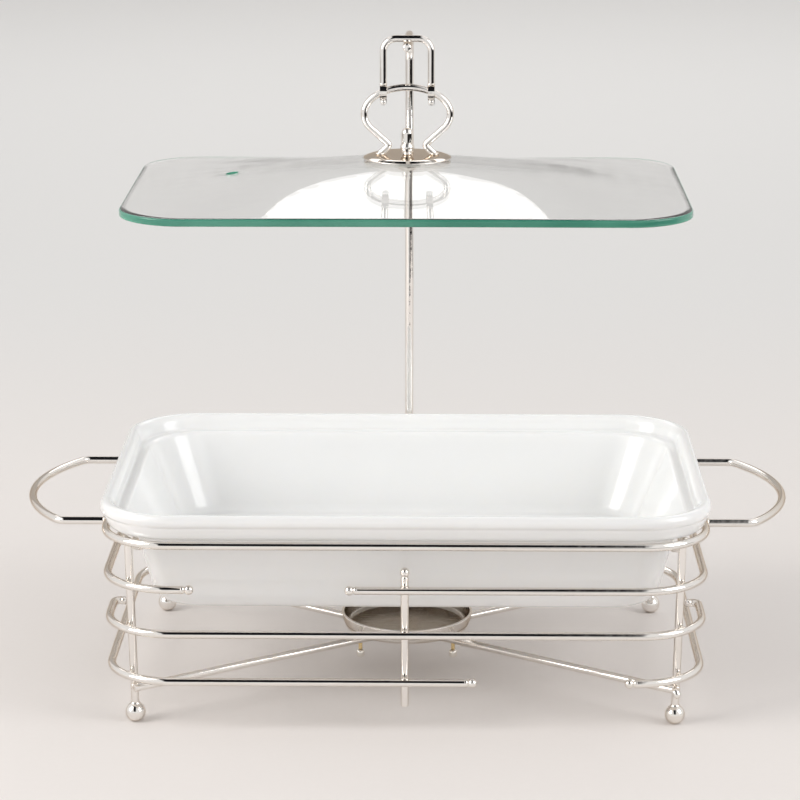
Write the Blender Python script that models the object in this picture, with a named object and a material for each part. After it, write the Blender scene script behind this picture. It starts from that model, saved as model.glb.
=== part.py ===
"""Buffet server: a bent-wire stand on ball feet, a white porcelain dish, a domed glass lid that
hangs from a pole behind the dish, and a small pan for a burner under it.

Metres, +Z up. The origin is on the table, under the middle of the whole object's box.
+X is to the right and -Y is the front. Everything is laid out around the middle of the wire
stand, and one empty then carries the whole object to the origin.
"""
from math import asin, atan2, cos, hypot, pi, radians, sin, sqrt

import bmesh
import bpy
from mathutils import Vector

# ---------------------------------------------------------------- driving dimensions (metres)
GAP = 0.0003                # kept between pieces that touch

WIRE = 0.0025               # radius of the stand's wire
RING_X = 0.1890             # half width of the rounded rectangle that the top wire follows
RING_Y = 0.1245             # half depth of the same
RING_CORNER = 0.042         # its corner radius in plan
TAPER = 0.020               # how much the stand narrows on each side, per metre of height
TOP_Z = 0.1205              # heights of the four levels of wire
UPPER_Z = 0.0920
MIDDLE_Z = 0.0628
LOWER_Z = 0.0317

LEG_X = 0.1724              # leg axis from the middle, at the height of the top wire
FOOT_R = 0.00635            # half-inch ball feet
FOOT_FLAT = 0.00025         # how much of each ball is filed off where it stands
HANDLE_Y = 0.0710           # half the distance between a handle's two ends
HANDLE_X = 0.2455           # middle of a handle's wire, at its outermost point
HANDLE_BOW = 0.112          # radius of the handle's long bow
HANDLE_CORNER = 0.008       # radius of the two bends at the ends of the bow

BAR_LOW = 0.0146            # lower end of the short bars in the middle of the front and the back
BEAD_R = 0.0030             # ball at the end of each loose wire
BEAD_LENGTH = 0.0049        # from the end of the wire to the middle of its ball

ARM_Z = 0.0240              # crossed wires that carry the burner pan
PAN_R = 0.0433
PAN_FOOT_R = 0.0375
PAN_HEIGHT = 0.0112
PAN_WALL = 0.0012
STUD_X = 0.0306
STUD_Y = 0.0151
STUD_R = 0.0014
KNOB_R = 0.0027
KNOB_Z = 0.0130

DISH_X = 0.1925             # half width of the dish over its rim
DISH_Y = 0.1275             # half depth of the dish over its rim
DISH_CORNER = 0.045
RIM_HEIGHT = 0.0172
DISH_FOOT_Z = 0.0700        # underside of the dish
DISH_FLOOR_Z = 0.0775       # its floor, inside

POLE_R = 0.00275
POLE_BEND = 0.020           # radius of the bend at the top of the pole
POLE_TIP_Y = -0.0080        # front end of the pole's arm
ARM_RISE = radians(3.3)     # the arm climbs a little towards its tip, so the lid stays on it
SOCKET_R = 0.0046
SOCKET_BORE = 0.00305
SOCKET_LOW = 0.026
SOCKET_HIGH = 0.096

LID_X = 0.1768              # half width of the glass lid
LID_Y = 0.1135              # half depth of the glass lid
LID_CORNER = 0.040
LID_EDGE_Z = 0.3182         # underside of the lid's edge as it hangs
GLASS = 0.0046              # thickness of the glass
LID_RISE = 0.0188           # how far the dome rises above the edge
VENT_X = -0.112             # steam hole
VENT_R = 0.0040
LID_HOLE_R = 0.0035         # hole in the middle of the glass, for the handle's screw

DISC_R = 0.0280             # plate that spreads the load of the handle over the glass
DISC_T = 0.0020             # its thickness in the middle
DISC_EDGE = 0.0005          # and at its rim, which slopes down to the glass
DISC_FLAT = 0.0185          # radius of its flat middle
LOOP_WIRE = 0.0022          # wire of the handle loop and of the hanger
LOOP_X = 0.0274             # half width of the handle loop at its widest
LOOP_WIDE_Z = 0.3700        # height of its widest place
LOOP_TOP_Z = 0.3869
NECK_X = 0.0112
NECK_Z = 0.3500
LOOP_FOOT_X = 0.0172
HANGER_X = 0.0152           # half width of the hanger
HANGER_TOP_Z = 0.4178       # the hanger swings about this line, on top of the pole's arm
HANGER_CORNER = 0.008
LUG_HALF = 0.0022           # half width of the folded straps
LUG_BORE = 0.0037
LUG_T = 0.0008
LUG_DROP = 0.0089           # from the swing line to the bottom of a strap

# ---------------------------------------------------------------- worked out from the above
LEG_INSET = 2 * WIRE + GAP
LEG_Y = (RING_Y - RING_CORNER) + sqrt((RING_CORNER - LEG_INSET) ** 2 - (LEG_X - RING_X + RING_CORNER) ** 2)
RIM_LOW = TOP_Z + WIRE + GAP
DISH_TOP = RIM_LOW + RIM_HEIGHT
POLE_Y = RING_Y + WIRE + GAP + SOCKET_R
POLE_LOW = SOCKET_LOW + 0.0020 + GAP
PAN_LOW = ARM_Z + WIRE + GAP
CROWN_Z = LID_EDGE_Z + GLASS + LID_RISE
DISC_Z = CROWN_Z + GAP
# the lid swings about a line through the handle loop, at the height that its top arc has in the straps
SWING_Z = LOOP_WIDE_Z + (LOOP_TOP_Z - LOOP_WIDE_Z) * sqrt(1 - (HANGER_X / LOOP_X) ** 2)
CENTRE_Y = ((POLE_Y + SOCKET_R) - DISH_Y) / 2      # middle of the object's box, from the stand's middle

ROUND = 12                  # sides of a turned piece
CORNER_STEPS = 6            # steps in a bend


# ---------------------------------------------------------------- materials
def material(name, colour, roughness, metallic=0.0, transmission=0.0):
    made = bpy.data.materials.new(name)
    made.use_nodes = True
    shader = made.node_tree.nodes["Principled BSDF"]
    shader.inputs["Base Color"].default_value = (*colour, 1.0)
    shader.inputs["Roughness"].default_value = roughness
    shader.inputs["Metallic"].default_value = metallic
    shader.inputs["Transmission Weight"].default_value = transmission
    made.diffuse_color = (*colour, 1.0)
    return made


# ---------------------------------------------------------------- placing
def frame(name, at, parent=None, parent_at=(0, 0, 0)):
    """An empty that other pieces hang on, such as a joint's axis."""
    empty = bpy.data.objects.new(name, None)
    bpy.context.scene.collection.objects.link(empty)
    empty.parent = parent
    empty.location = Vector(at) - Vector(parent_at)
    return {"empty": empty, "at": Vector(at)}


def place(obj, holder, at, surface):
    """Hang a new object on a frame, with its own origin at a point of the design."""
    bpy.context.scene.collection.objects.link(obj)
    obj.parent = holder["empty"]
    obj.location = Vector(at) - holder["at"]
    obj.data.materials.append(surface)
    return obj


def solid(name, bm, holder, at, surface, sharp=40):
    """Turn a bmesh drawn in the design's own coordinates into an object with its origin at a point."""
    bmesh.ops.translate(bm, vec=-Vector(at), verts=bm.verts)
    bmesh.ops.recalc_face_normals(bm, faces=bm.faces)
    mesh = bpy.data.meshes.new(name)
    bm.to_mesh(mesh)
    bm.free()
    mesh.shade_smooth()
    mesh.set_sharp_from_angle(angle=radians(sharp))
    return place(bpy.data.objects.new(name, mesh), holder, at, surface)


def wire(name, points, radius, holder, surface, at=None, closed=False):
    """A bent wire with flat ends, or a closed ring of wire."""
    at = Vector(at or points[0])
    curve = bpy.data.curves.new(name, "CURVE")
    curve.dimensions = "3D"
    curve.bevel_depth = radius
    curve.bevel_resolution = 2
    curve.use_fill_caps = True
    curve.twist_mode = "MINIMUM"
    spline = curve.splines.new("POLY")
    spline.points.add(len(points) - 1)
    spline.use_cyclic_u = closed
    spline.use_smooth = True
    for slot, point in zip(spline.points, points):
        slot.co = (*(Vector(point) - at), 1.0)
    return place(bpy.data.objects.new(name, curve), holder, at, surface)


# ---------------------------------------------------------------- outlines
def arc(centre, radius, start, end, steps):
    """Points of a flat arc, from one angle to another, in degrees."""
    angles = [radians(start + (end - start) * i / steps) for i in range(steps + 1)]
    return [(centre[0] + radius * cos(a), centre[1] + radius * sin(a)) for a in angles]


def round_rect(half_x, half_y, corner, steps=CORNER_STEPS, between=(0, 0)):
    """A rounded rectangle as one loop of flat points, anticlockwise.

    The last pair says how many points lie between the corners along X and along Y.
    """
    arcs = []
    for quarter, (side, end) in enumerate([(1, 1), (-1, 1), (-1, -1), (1, -1)]):
        centre = (side * (half_x - corner), end * (half_y - corner))
        arcs.append(arc(centre, corner, 90 * quarter, 90 * quarter + 90, steps))
    loop = []
    for quarter in range(4):
        loop += arcs[quarter]
        start, end = Vector(arcs[quarter][-1]), Vector(arcs[(quarter + 1) % 4][0])
        count = between[quarter % 2]
        loop += [tuple(start.lerp(end, (i + 1) / (count + 1))) for i in range(count)]
    return loop


def circle_inside(outline, radius):
    """A circle with one point towards each point of an outline around it."""
    return [(radius * x / hypot(x, y), radius * y / hypot(x, y)) for x, y in outline]


def loft(rings, hollow=False):
    """Skin over loops of equal length. A hollow one joins its last loop to its first."""
    bm = bmesh.new()
    loops = [[bm.verts.new(p) for p in ring] for ring in rings]
    pairs = list(zip(loops, loops[1:]))
    if hollow:
        pairs.append((loops[-1], loops[0]))
    else:
        bm.faces.new(loops[0])
        bm.faces.new(loops[-1])
    for low, high in pairs:
        for i in range(len(low)):
            j = (i + 1) % len(low)
            bm.faces.new((low[i], low[j], high[j], high[i]))
    return bm


def turned(profile, centre=(0, 0, 0), axis="Z", hollow=False, sides=ROUND):
    """A turned solid. The profile is (radius, height) pairs, and its ends lie on the axis unless hollow."""
    def spot(across, up, along):
        flat = {"Z": (across, up, along), "X": (along, across, up), "Y": (up, along, across)}[axis]
        return Vector(flat) + Vector(centre)

    bm = bmesh.new()
    loops = []
    for radius, along in profile:
        if radius == 0:
            loops.append([bm.verts.new(spot(0, 0, along))])
            continue
        turns = [2 * pi * i / sides for i in range(sides)]
        loops.append([bm.verts.new(spot(radius * cos(t), radius * sin(t), along)) for t in turns])
    pairs = list(zip(loops, loops[1:]))
    if hollow:
        pairs.append((loops[-1], loops[0]))
    for low, high in pairs:
        for i in range(sides):
            j = (i + 1) % sides
            corners = [low[i % len(low)], low[j % len(low)], high[j % len(high)], high[i % len(high)]]
            bm.faces.new(list(dict.fromkeys(corners)))
    return bm


def ball(radius, middle, low=None, high=None, steps=8):
    """Profile of a ball, with flats where it is cut off below or above."""
    low = middle - radius if low is None else low
    high = middle + radius if high is None else high
    start, end = asin((low - middle) / radius), asin((high - middle) / radius)
    angles = [start + (end - start) * i / steps for i in range(steps + 1)]
    profile = [(radius * cos(a), middle + radius * sin(a)) for a in angles]
    inner = [(r, z) for r, z in profile if r > radius * 0.01]
    return [(0, low)] + inner + [(0, high)]


def ring_half_x(z):
    return RING_X - TAPER * (TOP_Z - z)


def ring_corner(side, end, z):
    """The bend of a ring of wire at one corner, from the stand's side round to its front or back."""
    half_x = ring_half_x(z)
    flat = arc((half_x - RING_CORNER, RING_Y - RING_CORNER), RING_CORNER, 0, 90, CORNER_STEPS)
    return [(side * x, end * y, z) for x, y in flat]


def half_turn(points):
    """The same wire turned half way round the middle of the stand."""
    return [(-x, -y, z) for x, y, z in points]


# ---------------------------------------------------------------- wire stand
def top_wire(stand, silver):
    points = []
    for side, end, backwards in [(1, 1, False), (-1, 1, True), (-1, -1, False), (1, -1, True)]:
        bend = ring_corner(side, end, TOP_Z)
        points += bend[::-1] if backwards else bend
    wire("top_wire", points, WIRE, stand, silver, at=(0, 0, TOP_Z), closed=True)


def leg_spot(side, end, z):
    return (side * (LEG_X - TAPER * (TOP_Z - z)), end * LEG_Y, z)


def legs_and_feet(stand, silver):
    foot_top = 2 * FOOT_R - 0.0009
    for end, end_name in [(-1, "front"), (1, "rear")]:
        for side, side_name in [(-1, "left"), (1, "right")]:
            low = leg_spot(side, end, foot_top + GAP)
            high = leg_spot(side, end, TOP_Z + 0.0005)
            wire(f"leg_{end_name}_{side_name}", [low, high], WIRE, stand, silver)
            profile = ball(FOOT_R, FOOT_R - FOOT_FLAT, low=0, high=foot_top)
            bm = turned(profile, centre=(low[0], low[1], 0))
            solid(f"ball_foot_{end_name}_{side_name}", bm, stand, (low[0], low[1], 0), silver)


def handles(stand, silver):
    start = RING_X + WIRE + GAP
    bow_x = HANDLE_X - HANDLE_BOW
    # the small bend touches both the straight end, along X, and the long bow
    bend_y = HANDLE_Y - HANDLE_CORNER
    bend_x = bow_x + sqrt((HANDLE_BOW - HANDLE_CORNER) ** 2 - bend_y ** 2)
    meet = 180 / pi * atan2(bend_y, bend_x - bow_x)
    half = [(start, HANDLE_Y)] + arc((bend_x, bend_y), HANDLE_CORNER, 90, meet, 5)
    half += arc((bow_x, 0), HANDLE_BOW, meet, 0, 7)[1:]
    loop = half + [(x, -y) for x, y in half[-2::-1]]
    for side, side_name in [(-1, "left"), (1, "right")]:
        points = [(side * x, y, TOP_Z) for x, y in loop]
        wire(f"side_handle_{side_name}", points, WIRE, stand, silver, at=(side * start, 0, TOP_Z))


def bead(name, end, direction, stand, silver):
    """A turned collar and ball on the loose end of a wire. The direction is one axis, with its sign."""
    axis, sign = direction
    stretch = [(0, GAP), (0.0025, GAP), (0.0026, 0.0012), (0.0019, 0.0018)]
    angles = [radians(a) for a in (-40, -10, 20, 50, 75)]
    stretch += [(BEAD_R * cos(a), BEAD_LENGTH + BEAD_R * sin(a)) for a in angles]
    stretch.append((0, BEAD_LENGTH + BEAD_R))
    profile = [(r, sign * along) for r, along in stretch]
    solid(name, turned(profile, centre=end, axis=axis, sides=10), stand, end, silver)


def level_wires(stand, silver):
    """The open wires of the three lower levels. Each back wire is its front one turned half way round."""
    upper = [(-0.0294, -RING_Y, UPPER_Z)] + ring_corner(1, -1, UPPER_Z)[::-1]
    upper += ring_corner(1, 1, UPPER_Z) + [(0.1388, RING_Y, UPPER_Z)]
    lower = [(0.0373, -RING_Y, LOWER_Z)] + ring_corner(-1, -1, LOWER_Z)[::-1]
    lower += ring_corner(-1, 1, LOWER_Z) + [(-0.1450, RING_Y, LOWER_Z)]
    runs = [("upper", "right", upper), ("upper", "left", half_turn(upper)),
            ("lower", "left", lower), ("lower", "right", half_turn(lower))]
    for level, side_name, points in runs:
        wire(f"{level}_wire_{side_name}", points, WIRE, stand, silver)
        for tip, before in [(points[0], points[1]), (points[-1], points[-2])]:
            sign = 1 if tip[0] > before[0] else -1
            end_name = "front" if tip[1] < 0 else "rear"
            bead(f"bead_{level}_{side_name}_{end_name}", tip, ("X", sign), stand, silver)

    # the middle wires stop a short way along each side and hook inwards
    half_x = ring_half_x(MIDDLE_Z)
    hook_r = 0.0042
    hook_y = 0.0620
    hook = [(half_x - hook_r + x, -hook_y + y, MIDDLE_Z)
            for x, y in arc((0, 0), hook_r, 0, 140, 6)]
    right = hook[::-1] + ring_corner(1, -1, MIDDLE_Z)
    front = right + [(-x, y, z) for x, y, z in right[::-1]]
    wire("middle_wire_front", front, WIRE, stand, silver)
    wire("middle_wire_rear", half_turn(front), WIRE, stand, silver)


def centre_bars(stand, silver):
    top = 0.0974
    for end, end_name in [(-1, "front"), (1, "rear")]:
        y = end * (RING_Y - LEG_INSET)
        wire(f"centre_bar_{end_name}", [(0, y, BAR_LOW), (0, y, top)], WIRE, stand, silver)
        bead(f"bead_centre_bar_{end_name}", (0, y, top), ("Z", 1), stand, silver)


# ---------------------------------------------------------------- burner pan and what holds it
def burner_arms(stand, silver):
    """Two wires crossed under the pan, each end passing a leg on its inner side."""
    leg_x, leg_y, _ = leg_spot(1, 1, ARM_Z)
    reach = hypot(leg_x, leg_y)
    angle = atan2(leg_y, leg_x) + asin(LEG_INSET / reach)
    tip = ((reach + 0.003) * cos(angle), (reach + 0.003) * sin(angle))
    crossing = 2 * angle
    clear = (2 * WIRE + GAP) / sin(crossing) + 0.0006
    start = (clear * cos(angle), clear * sin(angle))
    wire("burner_arm_through", [(-tip[0], -tip[1], ARM_Z), (tip[0], tip[1], ARM_Z)], WIRE, stand, silver)
    # the front right end is bent down a little past its leg
    bent = (tip[0] + 0.0010, -tip[1] - 0.0022, ARM_Z - 0.0042)
    front = [(start[0], -start[1], ARM_Z), (tip[0], -tip[1], ARM_Z), bent]
    wire("burner_arm_front_right", front, WIRE, stand, silver)
    rear = [(-start[0], start[1], ARM_Z), (-tip[0], tip[1], ARM_Z)]
    wire("burner_arm_rear_left", rear, WIRE, stand, silver)


def burner_pan(stand, silver, brass):
    floor_z = PAN_LOW + PAN_WALL
    top = PAN_LOW + PAN_HEIGHT
    wall = PAN_WALL
    outer = [(0, PAN_LOW), (PAN_FOOT_R, PAN_LOW), (PAN_R - 0.0022, PAN_LOW + 0.0016),
             (PAN_R - 0.0006, PAN_LOW + 0.0044), (PAN_R, top - 0.0005), (PAN_R - 0.0004, top)]
    inner = [(PAN_R - wall, top), (PAN_R - wall - 0.0008, PAN_LOW + 0.0048),
             (PAN_R - wall - 0.0026, PAN_LOW + 0.0026), (PAN_FOOT_R - 0.0006, floor_z), (0, floor_z)]
    solid("burner_pan", turned(outer + inner, sides=32), stand, (0, 0, PAN_LOW), silver)
    knob_top = KNOB_Z + KNOB_R * 0.85
    for end, end_name in [(-1, "front"), (1, "rear")]:
        for side, side_name in [(-1, "left"), (1, "right")]:
            spot = (side * STUD_X, end * STUD_Y, 0)
            low, high = knob_top + GAP, PAN_LOW - GAP
            stud = turned([(0, low), (STUD_R, low), (STUD_R, high), (0, high)], centre=spot)
            solid(f"pan_stud_{end_name}_{side_name}", stud, stand, (spot[0], spot[1], low), brass)
            knob = turned(ball(KNOB_R, KNOB_Z, high=knob_top, steps=6), centre=spot)
            solid(f"stud_knob_{end_name}_{side_name}", knob, stand, (spot[0], spot[1], KNOB_Z), brass)


# ---------------------------------------------------------------- dish
def dish(holder, porcelain):
    """One skin that runs from under the dish up its outside, over the rim and down to its floor."""
    def ring(inset, z, corner=None):
        corner = max(DISH_CORNER - inset, 0.012) if corner is None else corner
        return [(x, y, z) for x, y in round_rect(DISH_X - inset, DISH_Y - inset, corner)]

    low, top = RIM_LOW, DISH_TOP
    bead_z = top - 0.0045
    rings = [ring(0.0440, DISH_FOOT_Z + 0.0012, 0.020), ring(0.0420, DISH_FOOT_Z),
             ring(0.0370, DISH_FOOT_Z), ring(0.0330, DISH_FOOT_Z + 0.0020),
             ring(0.0305, DISH_FOOT_Z + 0.0065), ring(0.0225, low - 0.0130), ring(0.0180, low - 0.0020),
             ring(0.0165, low), ring(0.0054, low), ring(0.0043, low + 0.0010),
             ring(0.0022, bead_z - 0.0054), ring(0.0019, bead_z - 0.0038), ring(0.0003, bead_z - 0.0016)]
    rings += [ring(0.0038 - x, z) for x, z in arc((0, bead_z), 0.0038, 0, 150, 5)][1:]
    ledge = top - 0.0100
    rings += [ring(0.0086, ledge + 0.0020), ring(0.0098, ledge + 0.0003), ring(0.0150, ledge - 0.0002),
              ring(0.0165, ledge - 0.0016), ring(0.0180, ledge - 0.0060),
              ring(0.0330, DISH_FLOOR_Z + 0.0150), ring(0.0362, DISH_FLOOR_Z + 0.0065),
              ring(0.0400, DISH_FLOOR_Z + 0.0020), ring(0.0455, DISH_FLOOR_Z, 0.018)]
    solid("dish", loft(rings), holder, (0, 0, RIM_LOW), porcelain)


# ---------------------------------------------------------------- pole
def pole_and_socket(stand, pole_frame, silver):
    socket = [(0, SOCKET_LOW), (SOCKET_R, SOCKET_LOW), (SOCKET_R, SOCKET_HIGH), (SOCKET_BORE, SOCKET_HIGH),
              (SOCKET_BORE, SOCKET_LOW + 0.0020), (0, SOCKET_LOW + 0.0020)]
    spot = (0, POLE_Y, 0)
    solid("pole_socket", turned(socket, centre=spot), stand, (0, POLE_Y, SOCKET_LOW), silver)
    # seen from the left, the pole rises, bends forward and runs to its tip along a line that climbs
    arm_z = HANGER_TOP_Z - LOOP_WIRE - GAP - POLE_R / cos(ARM_RISE)
    turn = pi / 2 - ARM_RISE
    corner_z = arm_z - POLE_Y * sin(ARM_RISE) / cos(ARM_RISE)
    bend_z = corner_z - POLE_BEND * (1 - cos(turn)) / sin(turn)
    path = [(0, POLE_Y, POLE_LOW), (0, POLE_Y, bend_z)]
    path += [(0, POLE_Y - POLE_BEND + POLE_BEND * cos(turn * i / 8), bend_z + POLE_BEND * sin(turn * i / 8))
             for i in range(1, 9)]
    path.append((0, POLE_TIP_Y, arm_z - POLE_TIP_Y * sin(ARM_RISE) / cos(ARM_RISE)))
    wire("pole", path, POLE_R, pole_frame, silver)


# ---------------------------------------------------------------- glass lid and its handle
def glass_height(x, y):
    """Height of the dome's upper side above the lid's edge."""
    return LID_RISE * (1 - (x / LID_X) ** 2) * (1 - (y / LID_Y) ** 2)


def glass_lid(lid, glass, hidden):
    def skin(flat, lift):
        return [(x, y, LID_EDGE_Z + lift + glass_height(x, y)) for x, y in flat]

    def outline(inset=0, share=1):
        sizes = [share * (size - inset) for size in (LID_X, LID_Y, LID_CORNER)]
        return round_rect(*sizes, between=(7, 4))

    def edge(inset, lift):
        return skin(outline(inset), lift)

    top = [skin(circle_inside(outline(), radius), GLASS) for radius in (LID_HOLE_R, 0.012)]
    top += [skin(outline(share=share), GLASS) for share in (0.22, 0.40, 0.58, 0.76, 0.90)]
    bottom = [[(x, y, z - GLASS) for x, y, z in ring] for ring in top[::-1]]
    rim = [edge(0.0012, GLASS), edge(0.0003, GLASS - 0.0010), edge(0, GLASS / 2),
           edge(0.0003, 0.0010), edge(0.0012, 0)]
    made = solid("glass_lid", loft(top + rim + bottom, hollow=True), lid, (0, 0, SWING_Z), glass)

    drill = turned([(0, LID_EDGE_Z), (VENT_R, LID_EDGE_Z), (VENT_R, CROWN_Z), (0, CROWN_Z)],
                   centre=(VENT_X, 0, 0), sides=16)
    cutter = solid("vent_drill", drill, lid, (VENT_X, 0, LID_EDGE_Z), hidden)
    cutter.hide_render = True
    cutter.display_type = "WIRE"
    hole = made.modifiers.new("steam hole", "BOOLEAN")
    hole.operation = "DIFFERENCE"
    hole.solver = "EXACT"
    hole.object = cutter


def handle_stack(lid, silver, rubber):
    """What is clamped through the middle of the glass, from the screw below to the nut on top."""
    under = CROWN_Z - GLASS
    stem, bore = 0.0022, 0.0026
    disc_top = DISC_Z + DISC_T
    nut_low = disc_top + GAP
    disc = [(bore, DISC_Z), (DISC_R - 0.0002, DISC_Z), (DISC_R, DISC_Z + DISC_EDGE / 2),
            (DISC_R - 0.0002, DISC_Z + DISC_EDGE), (DISC_FLAT + 0.0035, disc_top - 0.0004),
            (DISC_FLAT, disc_top), (bore, disc_top)]
    solid("handle_disc", turned(disc, hollow=True, sides=32), lid, (0, 0, DISC_Z), silver)
    washer_low, washer_high = under - 0.0026, under - 0.0011
    washer = [(bore, washer_low), (0.0090, washer_low), (0.0090, washer_high), (bore, washer_high)]
    solid("lid_gasket", turned(washer, hollow=True, sides=20), lid, (0, 0, washer_low), rubber)
    head_high = washer_low - GAP
    head_low = head_high - 0.0024
    screw = [(0, head_low), (0.0045, head_low), (0.0058, head_low + 0.0010), (0.0058, head_high),
             (stem, head_high), (stem, nut_low + 0.0080), (0, nut_low + 0.0080)]
    solid("handle_screw", turned(screw), lid, (0, 0, head_low), silver)
    finial = [(0, nut_low + 0.0090), (bore, nut_low + 0.0090), (bore, nut_low), (0.0030, nut_low),
              (0.0031, nut_low + 0.0012), (0.0043, nut_low + 0.0030), (0.0044, nut_low + 0.0050),
              (0.0037, nut_low + 0.0072), (0.0037, nut_low + 0.0140), (0.0026, nut_low + 0.0160),
              (0, nut_low + 0.0165)]
    solid("finial_nut", turned(finial), lid, (0, 0, nut_low), silver)

    steps = [radians(90 * i / 10) for i in range(11)]
    top_arc = [(LOOP_X * cos(a), LOOP_WIDE_Z + (LOOP_TOP_Z - LOOP_WIDE_Z) * sin(a)) for a in steps]
    low = disc_top + 4 * GAP            # the ends are cut square across the splayed wire
    half = [(LOOP_FOOT_X, low), (LOOP_FOOT_X - 0.0004, low + 0.0010), (NECK_X + 0.0014, NECK_Z - 0.0022),
            (NECK_X, NECK_Z), (NECK_X + 0.0014, NECK_Z + 0.0022),
            (LOOP_X - 0.0036, LOOP_WIDE_Z - 0.0094), (LOOP_X - 0.0009, LOOP_WIDE_Z - 0.0046)]
    half += top_arc
    loop = half + [(-x, z) for x, z in half[-2::-1]]
    points = [(x, 0, z) for x, z in loop]
    wire("handle_loop", points, LOOP_WIRE, lid, silver, at=(0, 0, SWING_Z))


# ---------------------------------------------------------------- hanger
def hanger(holder, silver, hidden):
    low = SWING_Z + LUG_BORE + LUG_T + GAP
    bend = arc((HANGER_X - HANGER_CORNER, HANGER_TOP_Z - HANGER_CORNER), HANGER_CORNER, 0, 90, CORNER_STEPS)
    half = [(HANGER_X, low)] + bend
    loop = half + [(-x, z) for x, z in half[::-1]]
    wire("hanger_wire", [(x, 0, z) for x, z in loop], LOOP_WIRE, holder, silver, at=(0, 0, HANGER_TOP_Z))

    # each strap is folded over the handle loop and closed under it by a rivet
    slit, throat = 0.0004, 40
    bottom = SWING_Z - LUG_DROP
    rivet_z = bottom + 0.0023
    outer = arc((0, SWING_Z), LUG_BORE + LUG_T, -throat, 180 + throat, 12)
    inner = arc((0, SWING_Z), LUG_BORE, 180 + throat, -throat, 12)
    leaf = slit + LUG_T
    waist = SWING_Z - LUG_BORE - LUG_T
    outline = [(leaf, bottom), (leaf, waist - 0.0006)] + outer + [(-leaf, waist - 0.0006), (-leaf, bottom)]
    outline += [(-slit, bottom), (-slit, waist)] + inner + [(slit, waist), (slit, bottom)]
    head = [(0.0014, leaf + GAP), (0.0010, leaf + 0.0007)]
    shank = 0.0007
    for side, side_name in [(-1, "left"), (1, "right")]:
        x = side * HANGER_X
        ends = [[(x + across, y, z) for y, z in outline] for across in (-LUG_HALF, LUG_HALF)]
        lug = solid(f"hanger_lug_{side_name}", loft(ends), holder, (x, 0, SWING_Z), silver)
        drill = turned([(0, -0.004), (shank + GAP, -0.004), (shank + GAP, 0.004), (0, 0.004)],
                       centre=(x, 0, rivet_z), axis="Y")
        cutter = solid(f"rivet_drill_{side_name}", drill, holder, (x, 0, rivet_z), hidden)
        cutter.hide_render = True
        cutter.display_type = "WIRE"
        hole = lug.modifiers.new("rivet hole", "BOOLEAN")
        hole.operation = "DIFFERENCE"
        hole.solver = "EXACT"
        hole.object = cutter
        front = [(0, -head[1][1])] + [(r, -along) for r, along in head[::-1]] + [(shank, -head[0][1])]
        rivet = front + [(r, -along) for r, along in front[::-1]]
        solid(f"lug_rivet_{side_name}", turned(rivet, centre=(x, 0, rivet_z), axis="Y", sides=10),
              holder, (x, 0, rivet_z), silver)


# ---------------------------------------------------------------- the whole object
def build():
    for old in list(bpy.data.objects):
        bpy.data.objects.remove(old)
    silver = material("silver plate", (0.86, 0.83, 0.79), 0.12, metallic=1.0)
    brass = material("brass", (0.78, 0.62, 0.34), 0.25, metallic=1.0)
    porcelain = material("white porcelain", (0.90, 0.90, 0.89), 0.12)
    glass = material("clear glass", (0.80, 0.93, 0.88), 0.03, transmission=1.0)
    rubber = material("clear gasket", (0.75, 0.76, 0.74), 0.45)
    hidden = material("cutter", (0.5, 0.5, 0.5), 0.5)

    centre = frame("centre", (0, -CENTRE_Y, 0))
    centre["at"] = Vector((0, 0, 0))
    stand = frame("stand_frame", (0, 0, 0), centre["empty"])
    dish_frame = frame("dish_seat", (0, 0, RIM_LOW), centre["empty"])
    pole_frame = frame("pole_axis", (0, POLE_Y, POLE_LOW), centre["empty"])
    hanger_frame = frame("hanger_axis", (0, 0, HANGER_TOP_Z), pole_frame["empty"], pole_frame["at"])
    lid_frame = frame("lid_axis", (0, 0, SWING_Z), hanger_frame["empty"], hanger_frame["at"])

    top_wire(stand, silver)
    legs_and_feet(stand, silver)
    handles(stand, silver)
    level_wires(stand, silver)
    centre_bars(stand, silver)
    burner_arms(stand, silver)
    burner_pan(stand, silver, brass)
    dish(dish_frame, porcelain)
    pole_and_socket(stand, pole_frame, silver)
    glass_lid(lid_frame, glass, hidden)
    handle_stack(lid_frame, silver, rubber)
    hanger(hanger_frame, silver, hidden)


build()
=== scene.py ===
# %% [markdown]
# # A buffet server with a hanging glass lid
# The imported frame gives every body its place. All shapes below are worked out from the boxes of
# its nodes, so each visible piece lies where the solid it stands for lies.

# %% Load the frame
from math import asin, atan2, cos, degrees, hypot, pi, radians, sin, sqrt

import bmesh
import bpy
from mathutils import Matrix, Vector, noise


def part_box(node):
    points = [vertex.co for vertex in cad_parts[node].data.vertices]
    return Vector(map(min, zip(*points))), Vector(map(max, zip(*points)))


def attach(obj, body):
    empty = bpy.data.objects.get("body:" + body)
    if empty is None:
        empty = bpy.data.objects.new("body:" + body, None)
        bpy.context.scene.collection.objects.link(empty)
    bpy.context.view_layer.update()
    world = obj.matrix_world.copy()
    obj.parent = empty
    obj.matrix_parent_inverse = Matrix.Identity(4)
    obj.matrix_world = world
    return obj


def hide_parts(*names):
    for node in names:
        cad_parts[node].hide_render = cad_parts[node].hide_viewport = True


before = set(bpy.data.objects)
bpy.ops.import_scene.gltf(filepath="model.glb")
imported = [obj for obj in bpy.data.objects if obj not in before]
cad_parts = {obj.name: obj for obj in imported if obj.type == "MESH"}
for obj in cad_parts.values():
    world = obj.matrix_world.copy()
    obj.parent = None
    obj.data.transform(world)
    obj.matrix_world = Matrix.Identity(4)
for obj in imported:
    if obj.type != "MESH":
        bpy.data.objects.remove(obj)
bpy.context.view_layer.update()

# %% [markdown]
# ## Camera
# A long lens nearly two metres away, a little above the dish, keeps the two sides of the stand
# almost parallel. It looks down by about fifteen degrees, and is turned by less than one degree.

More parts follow.
